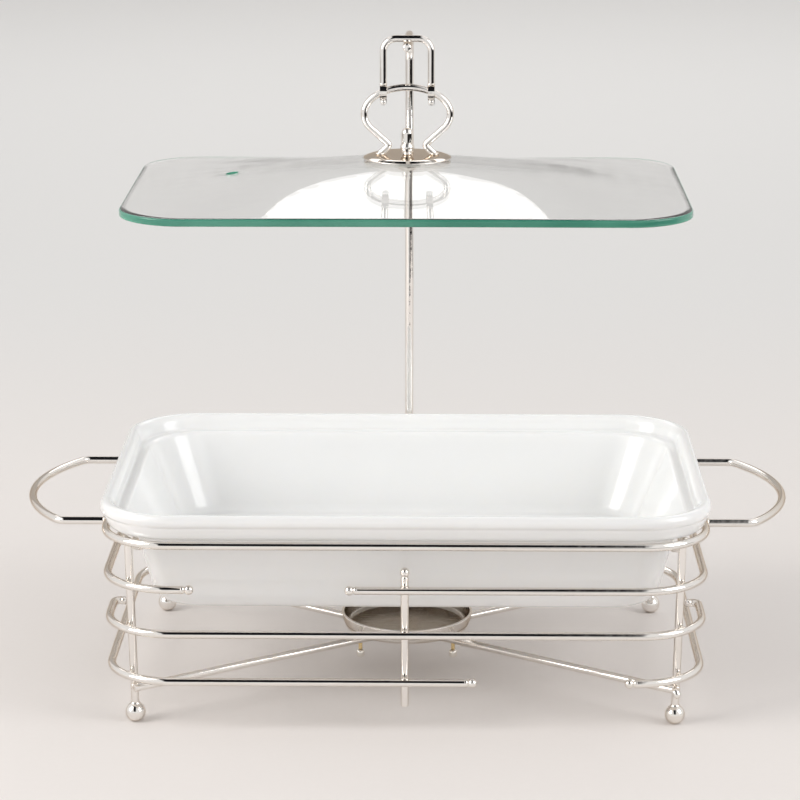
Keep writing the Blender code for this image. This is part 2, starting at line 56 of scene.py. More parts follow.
# %% Camera
LENS_MM, TILT_DOWN, TURNED = 129, 14.5, 0.82          # the last two in degrees
camera = bpy.data.objects.new("camera", bpy.data.cameras.new("camera"))
bpy.context.scene.collection.objects.link(camera)
camera.data.lens = LENS_MM
camera.data.clip_end = 50
camera.location = (0.0213, -1.8163, 0.6504)
camera.rotation_euler = (radians(90 - TILT_DOWN), 0, radians(TURNED))
bpy.context.scene.camera = camera
print("camera at", camera.location[:])

# %% [markdown]
# ## Shader sums as plain Python
# A finish is a sum of noises, masks and colours. Writing each Math node by hand hides that sum, so
# one small class stands for a node's output and turns +, -, * and / into Math nodes.

# %% A socket that can be used in sums
class Sock:
    """One output of a node. Sums on values make Math nodes."""

    def __init__(self, tree, socket):
        self.tree, self.socket = tree, socket

    def __getitem__(self, name):
        return Sock(self.tree, self.socket.node.outputs[name])

    def sum_with(self, operation, first, second):
        return node(self.tree, "ShaderNodeMath", {"operation": operation}, {0: first, 1: second})

    def __add__(self, other):
        return self.sum_with("ADD", self, other)

    def __radd__(self, other):
        return self.sum_with("ADD", other, self)

    def __sub__(self, other):
        return self.sum_with("SUBTRACT", self, other)

    def __rsub__(self, other):
        return self.sum_with("SUBTRACT", other, self)

    def __mul__(self, other):
        return self.sum_with("MULTIPLY", self, other)

    def __rmul__(self, other):
        return self.sum_with("MULTIPLY", other, self)

    def __truediv__(self, other):
        return self.sum_with("DIVIDE", self, other)

    def smooth(self, low, high):
        """0 below low, 1 above high, and a soft step between them."""
        return node(self.tree, "ShaderNodeMapRange", {"interpolation_type": "SMOOTHSTEP"},
                    {"Value": self, "From Min": low, "From Max": high})


print("sums are ready")

# %% [markdown]
# ## Nodes and colours
# Every other node comes from one function that takes its type, its settings and its sockets. A
# Math node would turn a colour grey, so colours are blended by a Mix node instead.

# %% Nodes and colours
def node(tree, kind, settings=None, inputs=None, output=0):
    """Any node: its type, its settings, then the values or links of its sockets."""
    made = tree.nodes.new(kind)
    for name, value in (settings or {}).items():
        setattr(made, name, value)
    for name, value in (inputs or {}).items():
        if isinstance(value, Sock):
            tree.links.new(value.socket, made.inputs[name])
        else:
            made.inputs[name].default_value = value
    return Sock(tree, made.outputs[output])


MIX_SHARE, MIX_FIRST, MIX_SECOND, MIX_COLOUR = 0, 6, 7, 2      # a Mix node's sockets for colours


def blend(tree, share, first, second):
    """Two colours mixed by a share from 0 to 1."""
    mix = tree.nodes.new("ShaderNodeMix")
    mix.data_type = "RGBA"
    for slot, value in ((MIX_SHARE, share), (MIX_FIRST, first), (MIX_SECOND, second)):
        if isinstance(value, Sock):
            tree.links.new(value.socket, mix.inputs[slot])
        else:
            mix.inputs[slot].default_value = value if slot == MIX_SHARE else (*value, 1)
    return Sock(tree, mix.outputs[MIX_COLOUR])


print("nodes and colours are ready")

# %% [markdown]
# ## Places, noise and finishes
# A finish needs to know where it is on its piece, some noise there, and a shader to feed. The
# place is the piece's own, so a pattern moves with its piece when a joint moves.

# %% Places, noise and finishes
def place_of(tree):
    """Where a point lies on its own piece, in metres. It moves with the piece."""
    return node(tree, "ShaderNodeTexCoord")["Object"]


def clouds(tree, place, size, detail=3.0, stretch=(1, 1, 1)):
    """Soft noise from 0 to 1. Size is how far apart its lumps are, in metres."""
    if stretch != (1, 1, 1):
        place = node(tree, "ShaderNodeMapping", None, {"Vector": place, "Scale": stretch})
    return node(tree, "ShaderNodeTexNoise", None,
                {"Vector": place, "Scale": 1 / size, "Detail": detail})


def finish(name, constants):
    """A new material whose Principled shader gets these constant values."""
    made = bpy.data.materials.new(name)
    made.use_nodes = True
    shader = made.node_tree.nodes["Principled BSDF"]
    for socket, value in constants.items():
        shader.inputs[socket].default_value = value
    return made, made.node_tree, shader


def feed(tree, shader, **links):
    """Link sums into the shader's sockets."""
    for name, value in links.items():
        tree.links.new(value.socket, shader.inputs[name.replace("_", " ")])


def bump(tree, height, strength, depth):
    """A normal that follows a height from 0 to 1, which is depth metres tall."""
    return node(tree, "ShaderNodeBump", None,
                {"Height": height, "Strength": strength, "Distance": depth})


print("places, noise and finishes are ready")

# %% [markdown]
# ## Silver plate
# The wires are steel with a bright plated skin. Drawing and polishing leave very fine scratches,
# the skin is never quite even, and it yellows a little. So the colour moves between a cool and a
# warm silver, thin scratch lines raise the roughness, and a shallow bump bends the reflections.

# %% Silver plate
def silver_plate(name, dull=0.0, cool=(0.885, 0.860, 0.830), warm=(0.800, 0.730, 0.640)):
    """Plated silver. Dull goes from 0, polished, to about 1, matt."""
    made, tree, shader = finish(name, {"Metallic": 1.0, "Specular Tint": (0.66, 0.57, 0.48, 1)})
    place = place_of(tree)
    patches = clouds(tree, place, 0.030, 4).smooth(0.48, 0.78)
    specks = clouds(tree, place, 0.0016, 2).smooth(0.68, 0.80)
    lines = [clouds(tree, place, 0.0011, 2, stretch) for stretch in ((0.05, 1, 1), (1, 1, 0.05))]
    scratches = lines[0].smooth(0.63, 0.72) + lines[1].smooth(0.64, 0.73)
    colour = blend(tree, patches * (0.30 + dull) + specks * 0.16, cool, warm)
    roughness = 0.045 + dull * 0.22 + patches * 0.035 + scratches * 0.05
    wavy = clouds(tree, place, 0.011, 2) * 0.8 + clouds(tree, place, 0.0022, 2) * 0.10
    feed(tree, shader, Base_Color=colour, Roughness=roughness,
         Normal=bump(tree, wavy + scratches * 0.015, 0.30, 0.0006))
    return made


silver = silver_plate("silver plate")
spun_silver = silver_plate("spun silver plate", dull=0.55)
sooty_silver = silver_plate("heat stained silver", dull=0.85,
                            cool=(0.50, 0.47, 0.43), warm=(0.38, 0.33, 0.28))
print("silver plate:", len(silver.node_tree.nodes), "nodes")

# %% [markdown]
# ## Brazing
# Where two wires meet, filler metal has run into the corner and was plated over. It is lumpier and
# duller than the wire, with small pits.

# %% Brazing
def brazing_finish():
    made, tree, shader = finish("plated brazing",
                                {"Metallic": 1.0, "Specular Tint": (0.60, 0.48, 0.38, 1)})
    place = place_of(tree)
    lumps = clouds(tree, place, 0.0015, 4)
    pits = clouds(tree, place, 0.0006, 2).smooth(0.62, 0.75)
    worn = lumps.smooth(0.40, 0.75) * 0.5 + pits * 0.25
    colour = blend(tree, worn, (0.88, 0.84, 0.79), (0.68, 0.57, 0.45))
    feed(tree, shader, Base_Color=colour, Roughness=0.27 + lumps * 0.12 + pits * 0.12,
         Normal=bump(tree, lumps - pits * 0.5, 0.15, 0.0003))
    return made


braze = brazing_finish()
print("brazing is ready")

# %% [markdown]
# ## Glazed porcelain
# The body is white and slightly warm under a thick clear glaze. A coat layer gives the sharp
# reflection of the glaze over the softer body, a slow bump gives the slight waviness of fired clay
# and a finer one the orange peel of the glaze. The foot is unglazed where it stood in the kiln.

# %% Glazed porcelain
def porcelain_finish(foot_z):
    """White glaze, with bare clay on the lowest part of the foot."""
    made, tree, shader = finish("glazed porcelain", {
        "IOR": 1.5, "Coat Roughness": 0.03, "Coat IOR": 1.5,
        "Subsurface Weight": 0.12, "Subsurface Radius": (0.004, 0.0036, 0.003),
        "Subsurface Scale": 1.0})
    place = place_of(tree)
    height = node(tree, "ShaderNodeSeparateXYZ", None, {0: place})["Z"]
    bare = 1 - height.smooth(foot_z + 0.0006, foot_z + 0.0012)
    cloudy = clouds(tree, place, 0.045, 3)
    grains = clouds(tree, place, 0.0009, 2).smooth(0.74, 0.80)
    body = blend(tree, cloudy.smooth(0.40, 0.70) * 0.5,
                 (0.868, 0.870, 0.866), (0.850, 0.854, 0.848))
    body = blend(tree, grains * 0.25, body, (0.62, 0.60, 0.56))
    body = blend(tree, bare * 0.8, body, (0.80, 0.75, 0.67))
    peel = clouds(tree, place, 0.0035, 2) * 0.12 + clouds(tree, place, 0.028, 2)
    relief = peel + bare * clouds(tree, place, 0.0006)
    feed(tree, shader, Base_Color=body, Roughness=0.20 + cloudy * 0.06 + bare * 0.45,
         Coat_Weight=0.9 - bare * 0.9, Normal=bump(tree, relief, 0.16, 0.0008))
    return made


porcelain = porcelain_finish(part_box("dish")[0].z)
print("glazed porcelain is ready")

# %% [markdown]
# ## Glass
# The sheet is nearly colourless seen through its faces and strongly green seen through its edge,
# because iron in the glass colours the long way through it. So the faces and the ground edge are
# two finishes. Light from lamps passes straight through both, as it does through a thin pane.

# %% Glass faces and glass edge
def glass_finish(name, colour, roughness, transmission):
    """Colour is a light and a dark tone. Roughness is that of clean, smeared and chipped glass."""
    made, tree, shader = finish(name, {"IOR": 1.5, "Transmission Weight": transmission})
    place = place_of(tree)
    ripple = clouds(tree, place, 0.050, 2)
    smears = clouds(tree, place, 0.018, 4, (1, 3, 1)).smooth(0.55, 0.80)
    chips = clouds(tree, place, 0.0030, 3).smooth(0.74, 0.82)
    light, dark = colour
    clean, smeared, chipped = roughness
    feed(tree, shader, Base_Color=blend(tree, ripple.smooth(0.35, 0.65), light, dark),
         Roughness=clean + smears * smeared + chips * chipped,
         Normal=bump(tree, ripple + chips * chipped, 0.05, 0.0010))
    lamp_ray = node(tree, "ShaderNodeLightPath")["Is Shadow Ray"]
    clear = node(tree, "ShaderNodeBsdfTransparent", None, {"Color": (*light, 1)})
    whole = node(tree, "ShaderNodeMixShader", None,
                 {0: lamp_ray, 1: Sock(tree, shader.outputs[0]), 2: clear})
    tree.links.new(whole.socket, tree.nodes["Material Output"].inputs["Surface"])
    return made


glass = glass_finish("clear glass", ((0.997, 1.0, 0.998), (0.992, 0.998, 0.995)),
                     (0.0, 0.004, 0.0), 1.0)
glass_edge = glass_finish("green glass edge", ((0.13, 0.46, 0.33), (0.08, 0.36, 0.25)),
                          (0.10, 0.06, 0.25), 0.35)
print("glass is ready")

# %% [markdown]
# ## Brass, pale knobs and the clear gasket
# The studs under the pan are turned brass, with fine rings from the lathe. The knobs on them are a
# pale plated ball. The washer between glass and screw is a soft, slightly cloudy plastic.

# %% Brass, knobs and gasket
def brass_finish():
    made, tree, shader = finish("turned brass", {"Metallic": 1.0})
    place = place_of(tree)
    rings = node(tree, "ShaderNodeTexWave", {"bands_direction": "Z", "wave_profile": "SIN"},
                 {"Vector": place, "Scale": 700.0, "Distortion": 1.0, "Detail": 1.0})["Fac"]
    age = clouds(tree, place, 0.004, 3).smooth(0.40, 0.75)
    feed(tree, shader, Base_Color=blend(tree, age, (0.83, 0.66, 0.36), (0.60, 0.42, 0.20)),
         Roughness=0.20 + age * 0.15 + rings * 0.05, Normal=bump(tree, rings, 0.35, 0.0001))
    return made


def gasket_finish():
    made, tree, shader = finish("cloudy gasket", {
        "Subsurface Weight": 0.3, "Subsurface Radius": (0.002, 0.002, 0.002)})
    haze = clouds(tree, place_of(tree), 0.003, 3)
    feed(tree, shader, Base_Color=blend(tree, haze, (0.82, 0.82, 0.79), (0.70, 0.71, 0.68)),
         Roughness=0.35 + haze * 0.2, Normal=bump(tree, haze, 0.2, 0.0002))
    return made


brass, gasket = brass_finish(), gasket_finish()
pale_knob = silver_plate("pale knob", dull=0.35,
                         cool=(0.97, 0.95, 0.90), warm=(0.90, 0.84, 0.72))
print("brass, knobs and gasket are ready")

# %% [markdown]
# ## From rings of points to pieces
# Nearly everything here is a tube or a turned shape, so one helper skins a row of rings, one sweeps
# a circle along a path with a radius for each point, and one turns a profile round an axis. Flat
# arcs and rounded corners give the paths and the profiles.

# %% Pieces and skins
def piece(name, bm, surface, body, stands_for=(), sharp=38):
    """Make a smooth shaded object that rides on a body and stands for CAD nodes."""
    bmesh.ops.recalc_face_normals(bm, faces=bm.faces)
    mesh = bpy.data.meshes.new(name)
    bm.to_mesh(mesh)
    bm.free()
    mesh.shade_smooth()
    mesh.set_sharp_from_angle(angle=radians(sharp))
    made = bpy.data.objects.new(name, mesh)
    bpy.context.scene.collection.objects.link(made)
    for each in surface if isinstance(surface, (list, tuple)) else [surface]:
        mesh.materials.append(each)
    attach(made, body)
    if stands_for:
        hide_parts(*stands_for)
    return made


def skin(rings, ring_closed=False, bm=None):
    """Quads between neighbouring rings of equal length. A one-point ring closes an end."""
    bm = bm or bmesh.new()
    loops = [[bm.verts.new(p) for p in ring] for ring in rings]
    pairs = list(zip(loops, loops[1:]))
    if ring_closed:
        pairs.append((loops[-1], loops[0]))
    for low, high in pairs:
        count = max(len(low), len(high))
        for i in range(count):
            j = (i + 1) % count
            corners = [low[i % len(low)], low[j % len(low)],
                       high[j % len(high)], high[i % len(high)]]
            bm.faces.new(list(dict.fromkeys(corners)))
    return bm


print("pieces and skins are ready")

# %% Tubes and turned shapes
def circle_at(centre, across, up, radius, sides):
    turns = [2 * pi * i / sides for i in range(sides)]
    return [centre + radius * (cos(t) * across + sin(t) * up) for t in turns]


def sweep(path, radii, sides=20, closed=False, bm=None):
    """A circle swept along a path. The radii are one number, or one for each point."""
    path = [Vector(p) for p in path]
    radii = radii if isinstance(radii, list) else [radii] * len(path)
    count = len(path)
    before = [path[i - 1] if closed or i else path[0] for i in range(count)]
    after = [path[(i + 1) % count] if closed or i < count - 1 else path[-1]
             for i in range(count)]
    heading = [(b - a).normalized() for a, b in zip(before, after)]
    side = Vector((0, 0, 1)) if abs(heading[0].z) < 0.9 else Vector((1, 0, 0))
    rings = []
    for point, ahead, radius in zip(path, heading, radii):
        side = (side - ahead * side.dot(ahead)).normalized()
        rings.append(circle_at(point, side, ahead.cross(side), radius, sides))
    if not closed:
        rings = [[path[0]]] + rings + [[path[-1]]]
    return skin(rings, closed, bm)


def turn(profile, centre, axis=(0, 0, 1), sides=48, bm=None):
    """A profile of (radius, height) pairs turned round an axis through centre."""
    ahead = Vector(axis).normalized()
    side = ahead.orthogonal().normalized()
    up = ahead.cross(side)
    rings = []
    for radius, along in profile:
        at = Vector(centre) + ahead * along
        rings.append(circle_at(at, side, up, radius, sides) if radius else [at])
    return skin(rings, bm=bm)


print("tubes and turned shapes are ready")

# %% Flat curves
def arc(centre, radius, start, end, steps):
    """Points of a flat arc between two angles in degrees."""
    angles = [radians(start + (end - start) * i / steps) for i in range(steps + 1)]
    return [(centre[0] + radius * cos(a), centre[1] + radius * sin(a)) for a in angles]


def ball_part(radius, middle, start=-90, end=90, steps=16):
    """The profile of a ball from one latitude to another, in degrees."""
    return arc((0, middle), radius, start, end, steps)


def rounded(points, steps=6):
    """A flat run of (x, z, radius) points with each inner corner rounded to its radius."""
    made = [points[0][:2]]
    for (ax, az, _), (bx, bz, size), (cx, cz, _) in zip(points, points[1:], points[2:]):
        a, b, c = Vector((ax, az)), Vector((bx, bz)), Vector((cx, cz))
        cut = min(size, (a - b).length * 0.49, (c - b).length * 0.49)
        start, end = b + (a - b).normalized() * cut, b + (c - b).normalized() * cut
        for i in range(steps + 1):
            t = i / steps
            made.append(tuple(start * (1 - t) ** 2 + b * 2 * t * (1 - t) + end * t ** 2))
    made.append(points[-1][:2])
    return made


print("flat curves are ready")

# %% [markdown]
# ## Measures of the stand
# The top wire's box gives the middle of the stand, the wire's thickness and the rounded rectangle
# that all levels follow. Each lower level is a little narrower.

# %% Measures
BEND = 0.042                    # radius of the rings' corners in plan
TOUCH = 0.0003                  # gap that the frame keeps between pieces
WIRE_SIDES = 24                 # sides of a round wire


def middle_of(name):
    low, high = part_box(name)
    return (low + high) / 2


def half_of(name):
    low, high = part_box(name)
    return (high - low) / 2


CENTRE = middle_of("top_wire")
WIRE = half_of("top_wire").z
RING_X = half_of("top_wire").x - WIRE
RING_Y = half_of("top_wire").y - WIRE
TOP = CENTRE.z
UPPER = middle_of("upper_wire_right").z
MIDDLE = middle_of("middle_wire_front").z
LOWER = middle_of("lower_wire_left").z
TAPER = (half_of("top_wire").x - half_of("middle_wire_front").x) / (TOP - MIDDLE)


def from_centre(x, y, z):
    """A point given from the middle of the stand, with its height from the table."""
    return Vector((CENTRE.x + x, CENTRE.y + y, z))


def ring_x(z):
    """Half the width of the ring at a height."""
    return RING_X - TAPER * (TOP - z)


print("wire", round(WIRE * 2000, 2), "mm")
print("ring", round(RING_X * 2000), "x", round(RING_Y * 2000), "mm")

# %% [markdown]
# ## Rings of wire
# The top ring is closed. The upper and lower wires go round one end of the stand each and stop at
# the front and the back. Their loose ends carry a small ball on a collar, which is drawn with the
# wire by letting the swept radius change along the path.

# %% Corners of a ring
def corner(side, end, z, steps=22):
    """The bend at one corner, from the side round to the front or back."""
    flat = arc((ring_x(z) - BEND, RING_Y - BEND), BEND, 0, 90, steps)
    return [from_centre(side * x, end * y, z) for x, y in flat]


def half_turn(points):
    """The same points, turned half way round the middle of the stand."""
    return [Vector((2 * CENTRE.x - p.x, 2 * CENTRE.y - p.y, p.z)) for p in points]


print("a corner has", len(corner(1, 1, TOP)), "points")

# %% [markdown]
# ## Ends of a wire
# A loose end that can be touched has a bead or is rounded, and one that is brazed to another wire
# is only filed. All three are a few more points on the path, each with its own radius.

# %% Ends of a wire
# A collar and a ball, as pairs: how far past the wire's end, and the radius there.
BEAD = [(0.0000, 0.00250), (0.0003, 0.00262), (0.0012, 0.00266), (0.0017, 0.00245),
        (0.0020, 0.00195), (0.0024, 0.00180)]
BEAD += [(0.0049 + z, r) for r, z in arc((0, 0), 0.0030, -50, 90, 14)]
ROUND_BACK = 0.8                # a rounded end starts this many wire radii before the tip
FILED = 0.0005                  # length of the edge on a filed end


def with_ends(path, first="bead", last="bead"):
    """The path and its radii, with a bead, a rounded tip or a filed edge at each end."""
    path = [Vector(p) for p in path]
    radii = [WIRE] * len(path)
    for kind, at, near in ((first, 0, 1), (last, -1, -2)):
        outward = (path[at] - path[near]).normalized()
        start = path[at]
        if kind == "bead":
            extra = [(start + outward * along, radius) for along, radius in BEAD]
        elif kind == "round":
            turns = [radians(a) for a in range(10, 91, 10)]
            extra = [(start + outward * (WIRE * sin(t) - WIRE * ROUND_BACK), WIRE * cos(t))
                     for t in turns]
            path[at] = start - outward * WIRE * ROUND_BACK
        else:
            path[at] = start - outward * FILED
            extra = [(start - outward * FILED * 0.3, WIRE * 0.95), (start, WIRE * 0.82)]
        if at == 0:
            path = [p for p, _ in extra[::-1]] + path
            radii = [r for _, r in extra[::-1]] + radii
        else:
            path += [p for p, _ in extra]
            radii += [r for _, r in extra]
    return path, radii


def wire_piece(name, path, radii, stands_for, sharp=38):
    """A round wire of the stand."""
    return piece(name, sweep(path, radii, WIRE_SIDES), silver, "stand", stands_for, sharp)


print("a bead is", round((BEAD[-1][0] - BEAD[0][0]) * 1000, 1), "mm long")

# %% Top, upper and lower rings
ring = corner(1, 1, TOP)[::-1] + corner(1, -1, TOP) + corner(-1, -1, TOP)[::-1] + corner(-1, 1, TOP)
piece("wire_top", sweep(ring, WIRE, WIRE_SIDES, closed=True), silver, "stand",
      ["top_wire"])

UPPER_END, LOWER_END = 0.1388, -0.1450          # x of the wires' loose ends at the back
upper = [Vector((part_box("upper_wire_right")[0].x, CENTRE.y - RING_Y, UPPER))]
upper += corner(1, -1, UPPER)[::-1] + corner(1, 1, UPPER) + [from_centre(UPPER_END, RING_Y, UPPER)]
lower = [Vector((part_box("lower_wire_left")[1].x, CENTRE.y - RING_Y, LOWER))]
lower += corner(-1, -1, LOWER)[::-1] + corner(-1, 1, LOWER) + [from_centre(LOWER_END, RING_Y, LOWER)]
for level, side_name, path in (("upper", "right", upper), ("upper", "left", half_turn(upper)),
                               ("lower", "left", lower), ("lower", "right", half_turn(lower))):
    points, radii = with_ends(path)
    ends = [f"bead_{level}_{side_name}_{end}" for end in ("front", "rear")]
    wire_piece(f"wire_{level}_{side_name}", points, radii, [f"{level}_wire_{side_name}"] + ends, 60)
print("upper and lower wires have", len(upper), "and", len(lower), "points")

# %% [markdown]
# ## Middle wires
# The middle ring is two wires, one round the front and one round the back. Each turns inwards at
# the sides in a small hook, so no end sticks out where a hand takes hold.

# %% Middle wires
HOOK_R, HOOK_Y = 0.0042, 0.0620
hook = [from_centre(ring_x(MIDDLE) - HOOK_R + x, -HOOK_Y + y, MIDDLE)
        for x, y in arc((0, 0), HOOK_R, 0, 140, 18)]
right_half = hook[::-1] + corner(1, -1, MIDDLE)
front = right_half + [Vector((2 * CENTRE.x - p.x, p.y, p.z)) for p in right_half[::-1]]
for end_name, path in (("front", front), ("rear", half_turn(front))):
    points, radii = with_ends(path, "round", "round")
    wire_piece(f"wire_middle_{end_name}", points, radii, [f"middle_wire_{end_name}"], 60)
print("rings of wire at", [round(z * 1000, 1) for z in (TOP, UPPER, MIDDLE, LOWER)], "mm")

# %% [markdown]
# ## Legs, ball feet and centre bars
# A leg stands inside each corner, touching all four rings, and ends in a ball with a small collar
# of solder. A shorter bar with a bead on top stands in the middle of the front and of the back.

# %% Legs, feet and centre bars
FLAT_CUT = 0.00025              # what the file took off under each ball
legs = {}
for end, end_name in ((-1, "front"), (1, "rear")):
    for side, side_name in ((-1, "left"), (1, "right")):
        low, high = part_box(f"leg_{end_name}_{side_name}")
        y = (low.y + high.y) / 2
        at_sides = (low.x + WIRE, high.x - WIRE)
        inner, outer = at_sides[::-1] if side < 0 else at_sides
        foot, top = Vector((inner, y, low.z)), Vector((outer, y, high.z))
        legs[end, side] = (foot, top)
        ball_low, ball_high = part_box(f"ball_foot_{end_name}_{side_name}")
        radius = (ball_high.x - ball_low.x) / 2
        centre_z = radius - FLAT_CUT
        flat = degrees(asin((ball_low.z - centre_z) / radius))
        profile = [(0, ball_low.z)] + ball_part(radius, centre_z, flat, 62, 26)
        profile += [(0.0031, ball_high.z - 0.0002), (0.0029, ball_high.z + 0.0005),
                    (0.00262, ball_high.z + 0.0009), (0, ball_high.z + 0.0009)]
        foot_bm = turn(profile, (foot.x, foot.y, 0), sides=56)
        piece(f"foot_{end_name}_{side_name}", foot_bm, silver, "stand",
              [f"ball_foot_{end_name}_{side_name}"], sharp=50)
        points, radii = with_ends([foot, top], "filed", "round")
        wire_piece(f"leg_rod_{end_name}_{side_name}", points, radii, [f"leg_{end_name}_{side_name}"])
    low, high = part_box(f"centre_bar_{end_name}")
    y = (low.y + high.y) / 2
    points, radii = with_ends([(CENTRE.x, y, low.z), (CENTRE.x, y, high.z)], "filed", "bead")
    wire_piece(f"bar_{end_name}", points, radii,
               [f"centre_bar_{end_name}", f"bead_centre_bar_{end_name}"], 60)
print("legs:", [tuple(round(v, 4) for v in foot) for foot, _ in legs.values()])

# %% [markdown]
# ## Side handles
# A long shallow bow with two tight bends. Each end butts on the top wire and is brazed there.

# %% Side handles
HANDLE_Y, HANDLE_BOW, HANDLE_BEND = 0.0710, 0.112, 0.008
handle_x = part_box("side_handle_right")[1].x - WIRE - CENTRE.x
start_x = RING_X + WIRE * 0.6
bow_x = handle_x - HANDLE_BOW
bend_y = HANDLE_Y - HANDLE_BEND
bend_x = bow_x + sqrt((HANDLE_BOW - HANDLE_BEND) ** 2 - bend_y ** 2)
meet = degrees(atan2(bend_y, bend_x - bow_x))
half = [(start_x, HANDLE_Y)] + arc((bend_x, bend_y), HANDLE_BEND, 90, meet, 16)
half += arc((bow_x, 0), HANDLE_BOW, meet, 0, 26)[1:]
outline = half + [(x, -y) for x, y in half[-2::-1]]
for side, side_name in ((-1, "left"), (1, "right")):
    path = [from_centre(side * x, y, TOP) for x, y in outline]
    wire_piece(f"handle_{side_name}", path, WIRE, [f"side_handle_{side_name}"])
print("handles reach", round(handle_x * 1000, 1), "mm from the middle")

# %% [markdown]
# ## Wires for the burner
# Two crossed wires run from leg to leg under the dish, one in one piece and the other in two
# halves that stop where they meet the first.

# %% Burner wires
arm_low, arm_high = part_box("burner_arm_through")
ARM_Z = (arm_low.z + arm_high.z) / 2
foot, top = legs[1, 1]
leg_at_arm = foot.lerp(top, (ARM_Z - foot.z) / (top.z - foot.z))
across, along = leg_at_arm.x - CENTRE.x, leg_at_arm.y - CENTRE.y
reach = hypot(across, along)
angle = atan2(along, across) + asin((2 * WIRE + TOUCH) / reach)
PAST_LEG, CROSS_GAP = 0.003, 0.0004
tip = Vector(((reach + PAST_LEG) * cos(angle), (reach + PAST_LEG) * sin(angle), 0))
clear = (2 * WIRE + TOUCH) / sin(2 * angle) + CROSS_GAP
near = Vector((clear * cos(angle), clear * sin(angle), 0))
through = [from_centre(-tip.x, -tip.y, ARM_Z), from_centre(tip.x, tip.y, ARM_Z)]
BENT_TIP = ((-0.0020, 0.0013, 0), (-0.0010, 0.0004, -0.0002), (-0.0001, -0.0005, -0.0009),
            (0.0004, -0.0012, -0.0019), (0.0010, -0.0022, -0.0040))       # the wire's tip is bent down
bent = [from_centre(near.x, -near.y, ARM_Z)]
bent += [from_centre(tip.x + dx, -tip.y + dy, ARM_Z + dz) for dx, dy, dz in BENT_TIP]
rear = [from_centre(-near.x, near.y, ARM_Z), from_centre(-tip.x, tip.y, ARM_Z)]
for name, path in (("through", through), ("front_right", bent), ("rear_left", rear)):
    points, radii = with_ends(path, "filed", "round" if name == "front_right" else "filed")
    wire_piece(f"arm_{name}", points, radii, [f"burner_arm_{name}"])
print("burner wires at", round(ARM_Z * 1000, 1), "mm")

# %% [markdown]
# ## Burner pan
# The pan is spun from thin sheet, with a soft curve into its flat bottom and a rim that is turned
# over. Its inside is dull and stained by the flame, so those faces get a second finish.

# %% Burner pan
pan_low, pan_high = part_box("burner_pan")
PAN_R = (pan_high.x - pan_low.x) / 2
pan_top, wall = pan_high.z - pan_low.z, 0.0012
FLAT_R, PAN_CURVE = 0.0366, 0.0050
outside = [(0, 0), (0.0360, 0)] + arc((FLAT_R, PAN_CURVE), PAN_CURVE, -90, -8, 12)
outside += [(PAN_R - 0.0008, 0.0062), (PAN_R - 0.0003, pan_top - 0.0018)]
rim = arc((PAN_R - 0.0009, pan_top - 0.0009), 0.0009, 0, 160, 10)
inside = [(PAN_R - 0.0018, pan_top - 0.0020), (PAN_R - 0.0021, 0.0064)]
inside += arc((FLAT_R, PAN_CURVE), 0.0038, -8, -90, 12) + [(0.0180, wall + 0.0001), (0, wall)]
pan_bm = turn(outside + rim + inside, (CENTRE.x, CENTRE.y, pan_low.z), sides=96)
pan = piece("pan", pan_bm, [spun_silver, sooty_silver], "stand", ["burner_pan"], sharp=50)


def in_pan(face):
    """True for a face that the flame can reach."""
    spot = face.center - Vector((CENTRE.x, CENTRE.y, pan_low.z))
    within = hypot(spot.x, spot.y) < PAN_R - 0.0017
    return within and spot.z > wall * 0.9 and face.normal.z > -0.2


for face in pan.data.polygons:
    face.material_index = 1 if in_pan(face) else 0
print("pan", round(PAN_R * 2000, 1), "mm across")

# %% [markdown]
# ## Studs and knobs
# Four threaded brass studs stand under the pan's rim, and each holds a small pale ball with a flat
# top. The thread is drawn as plain rings, which look the same as a spiral at this size.

# %% Studs and knobs
THREAD_TURNS, THREAD_DEPTH = 7, 0.86            # the second is the root radius over the tip radius
for end_name in ("front", "rear"):
    for side_name in ("left", "right"):
        stud = f"pan_stud_{end_name}_{side_name}"
        low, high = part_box(stud)
        spot, radius = middle_of(stud), half_of(stud).x
        root = radius * THREAD_DEPTH
        step = (high.z - low.z) / THREAD_TURNS
        thread = [(0, low.z)]
        for i in range(THREAD_TURNS):
            thread += [(root, low.z + step * i), (radius, low.z + step * (i + 0.5))]
        thread += [(root, high.z), (0, high.z)]
        piece(f"stud_{end_name}_{side_name}", turn(thread, (spot.x, spot.y, 0), sides=24),
              brass, "stand", [stud])
        knob = f"stud_knob_{end_name}_{side_name}"
        low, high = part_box(knob)
        radius, tall = half_of(knob).x, high.z - low.z
        profile = rounded([(0, low.z, 0), (radius * 0.92, low.z, 0.0012),
                           (radius, low.z + tall * 0.35, 0.0015),
                           (radius * 0.94, low.z + tall * 0.80, 0.0008),
                           (0.0016, high.z, 0.0006), (0, high.z, 0)], 5)
        piece(f"knob_{end_name}_{side_name}", turn(profile, (spot.x, spot.y, 0), sides=32),
              pale_knob, "stand", [knob])
print("a knob is", round(tall * 1000, 1), "mm tall")

# %% [markdown]
# ## Pole and its socket
# The pole drops into a tube behind the dish. It rises, bends forward and ends in a plain rounded
# tip just past the hanger. The arm climbs slightly, so the lid can't slide off.

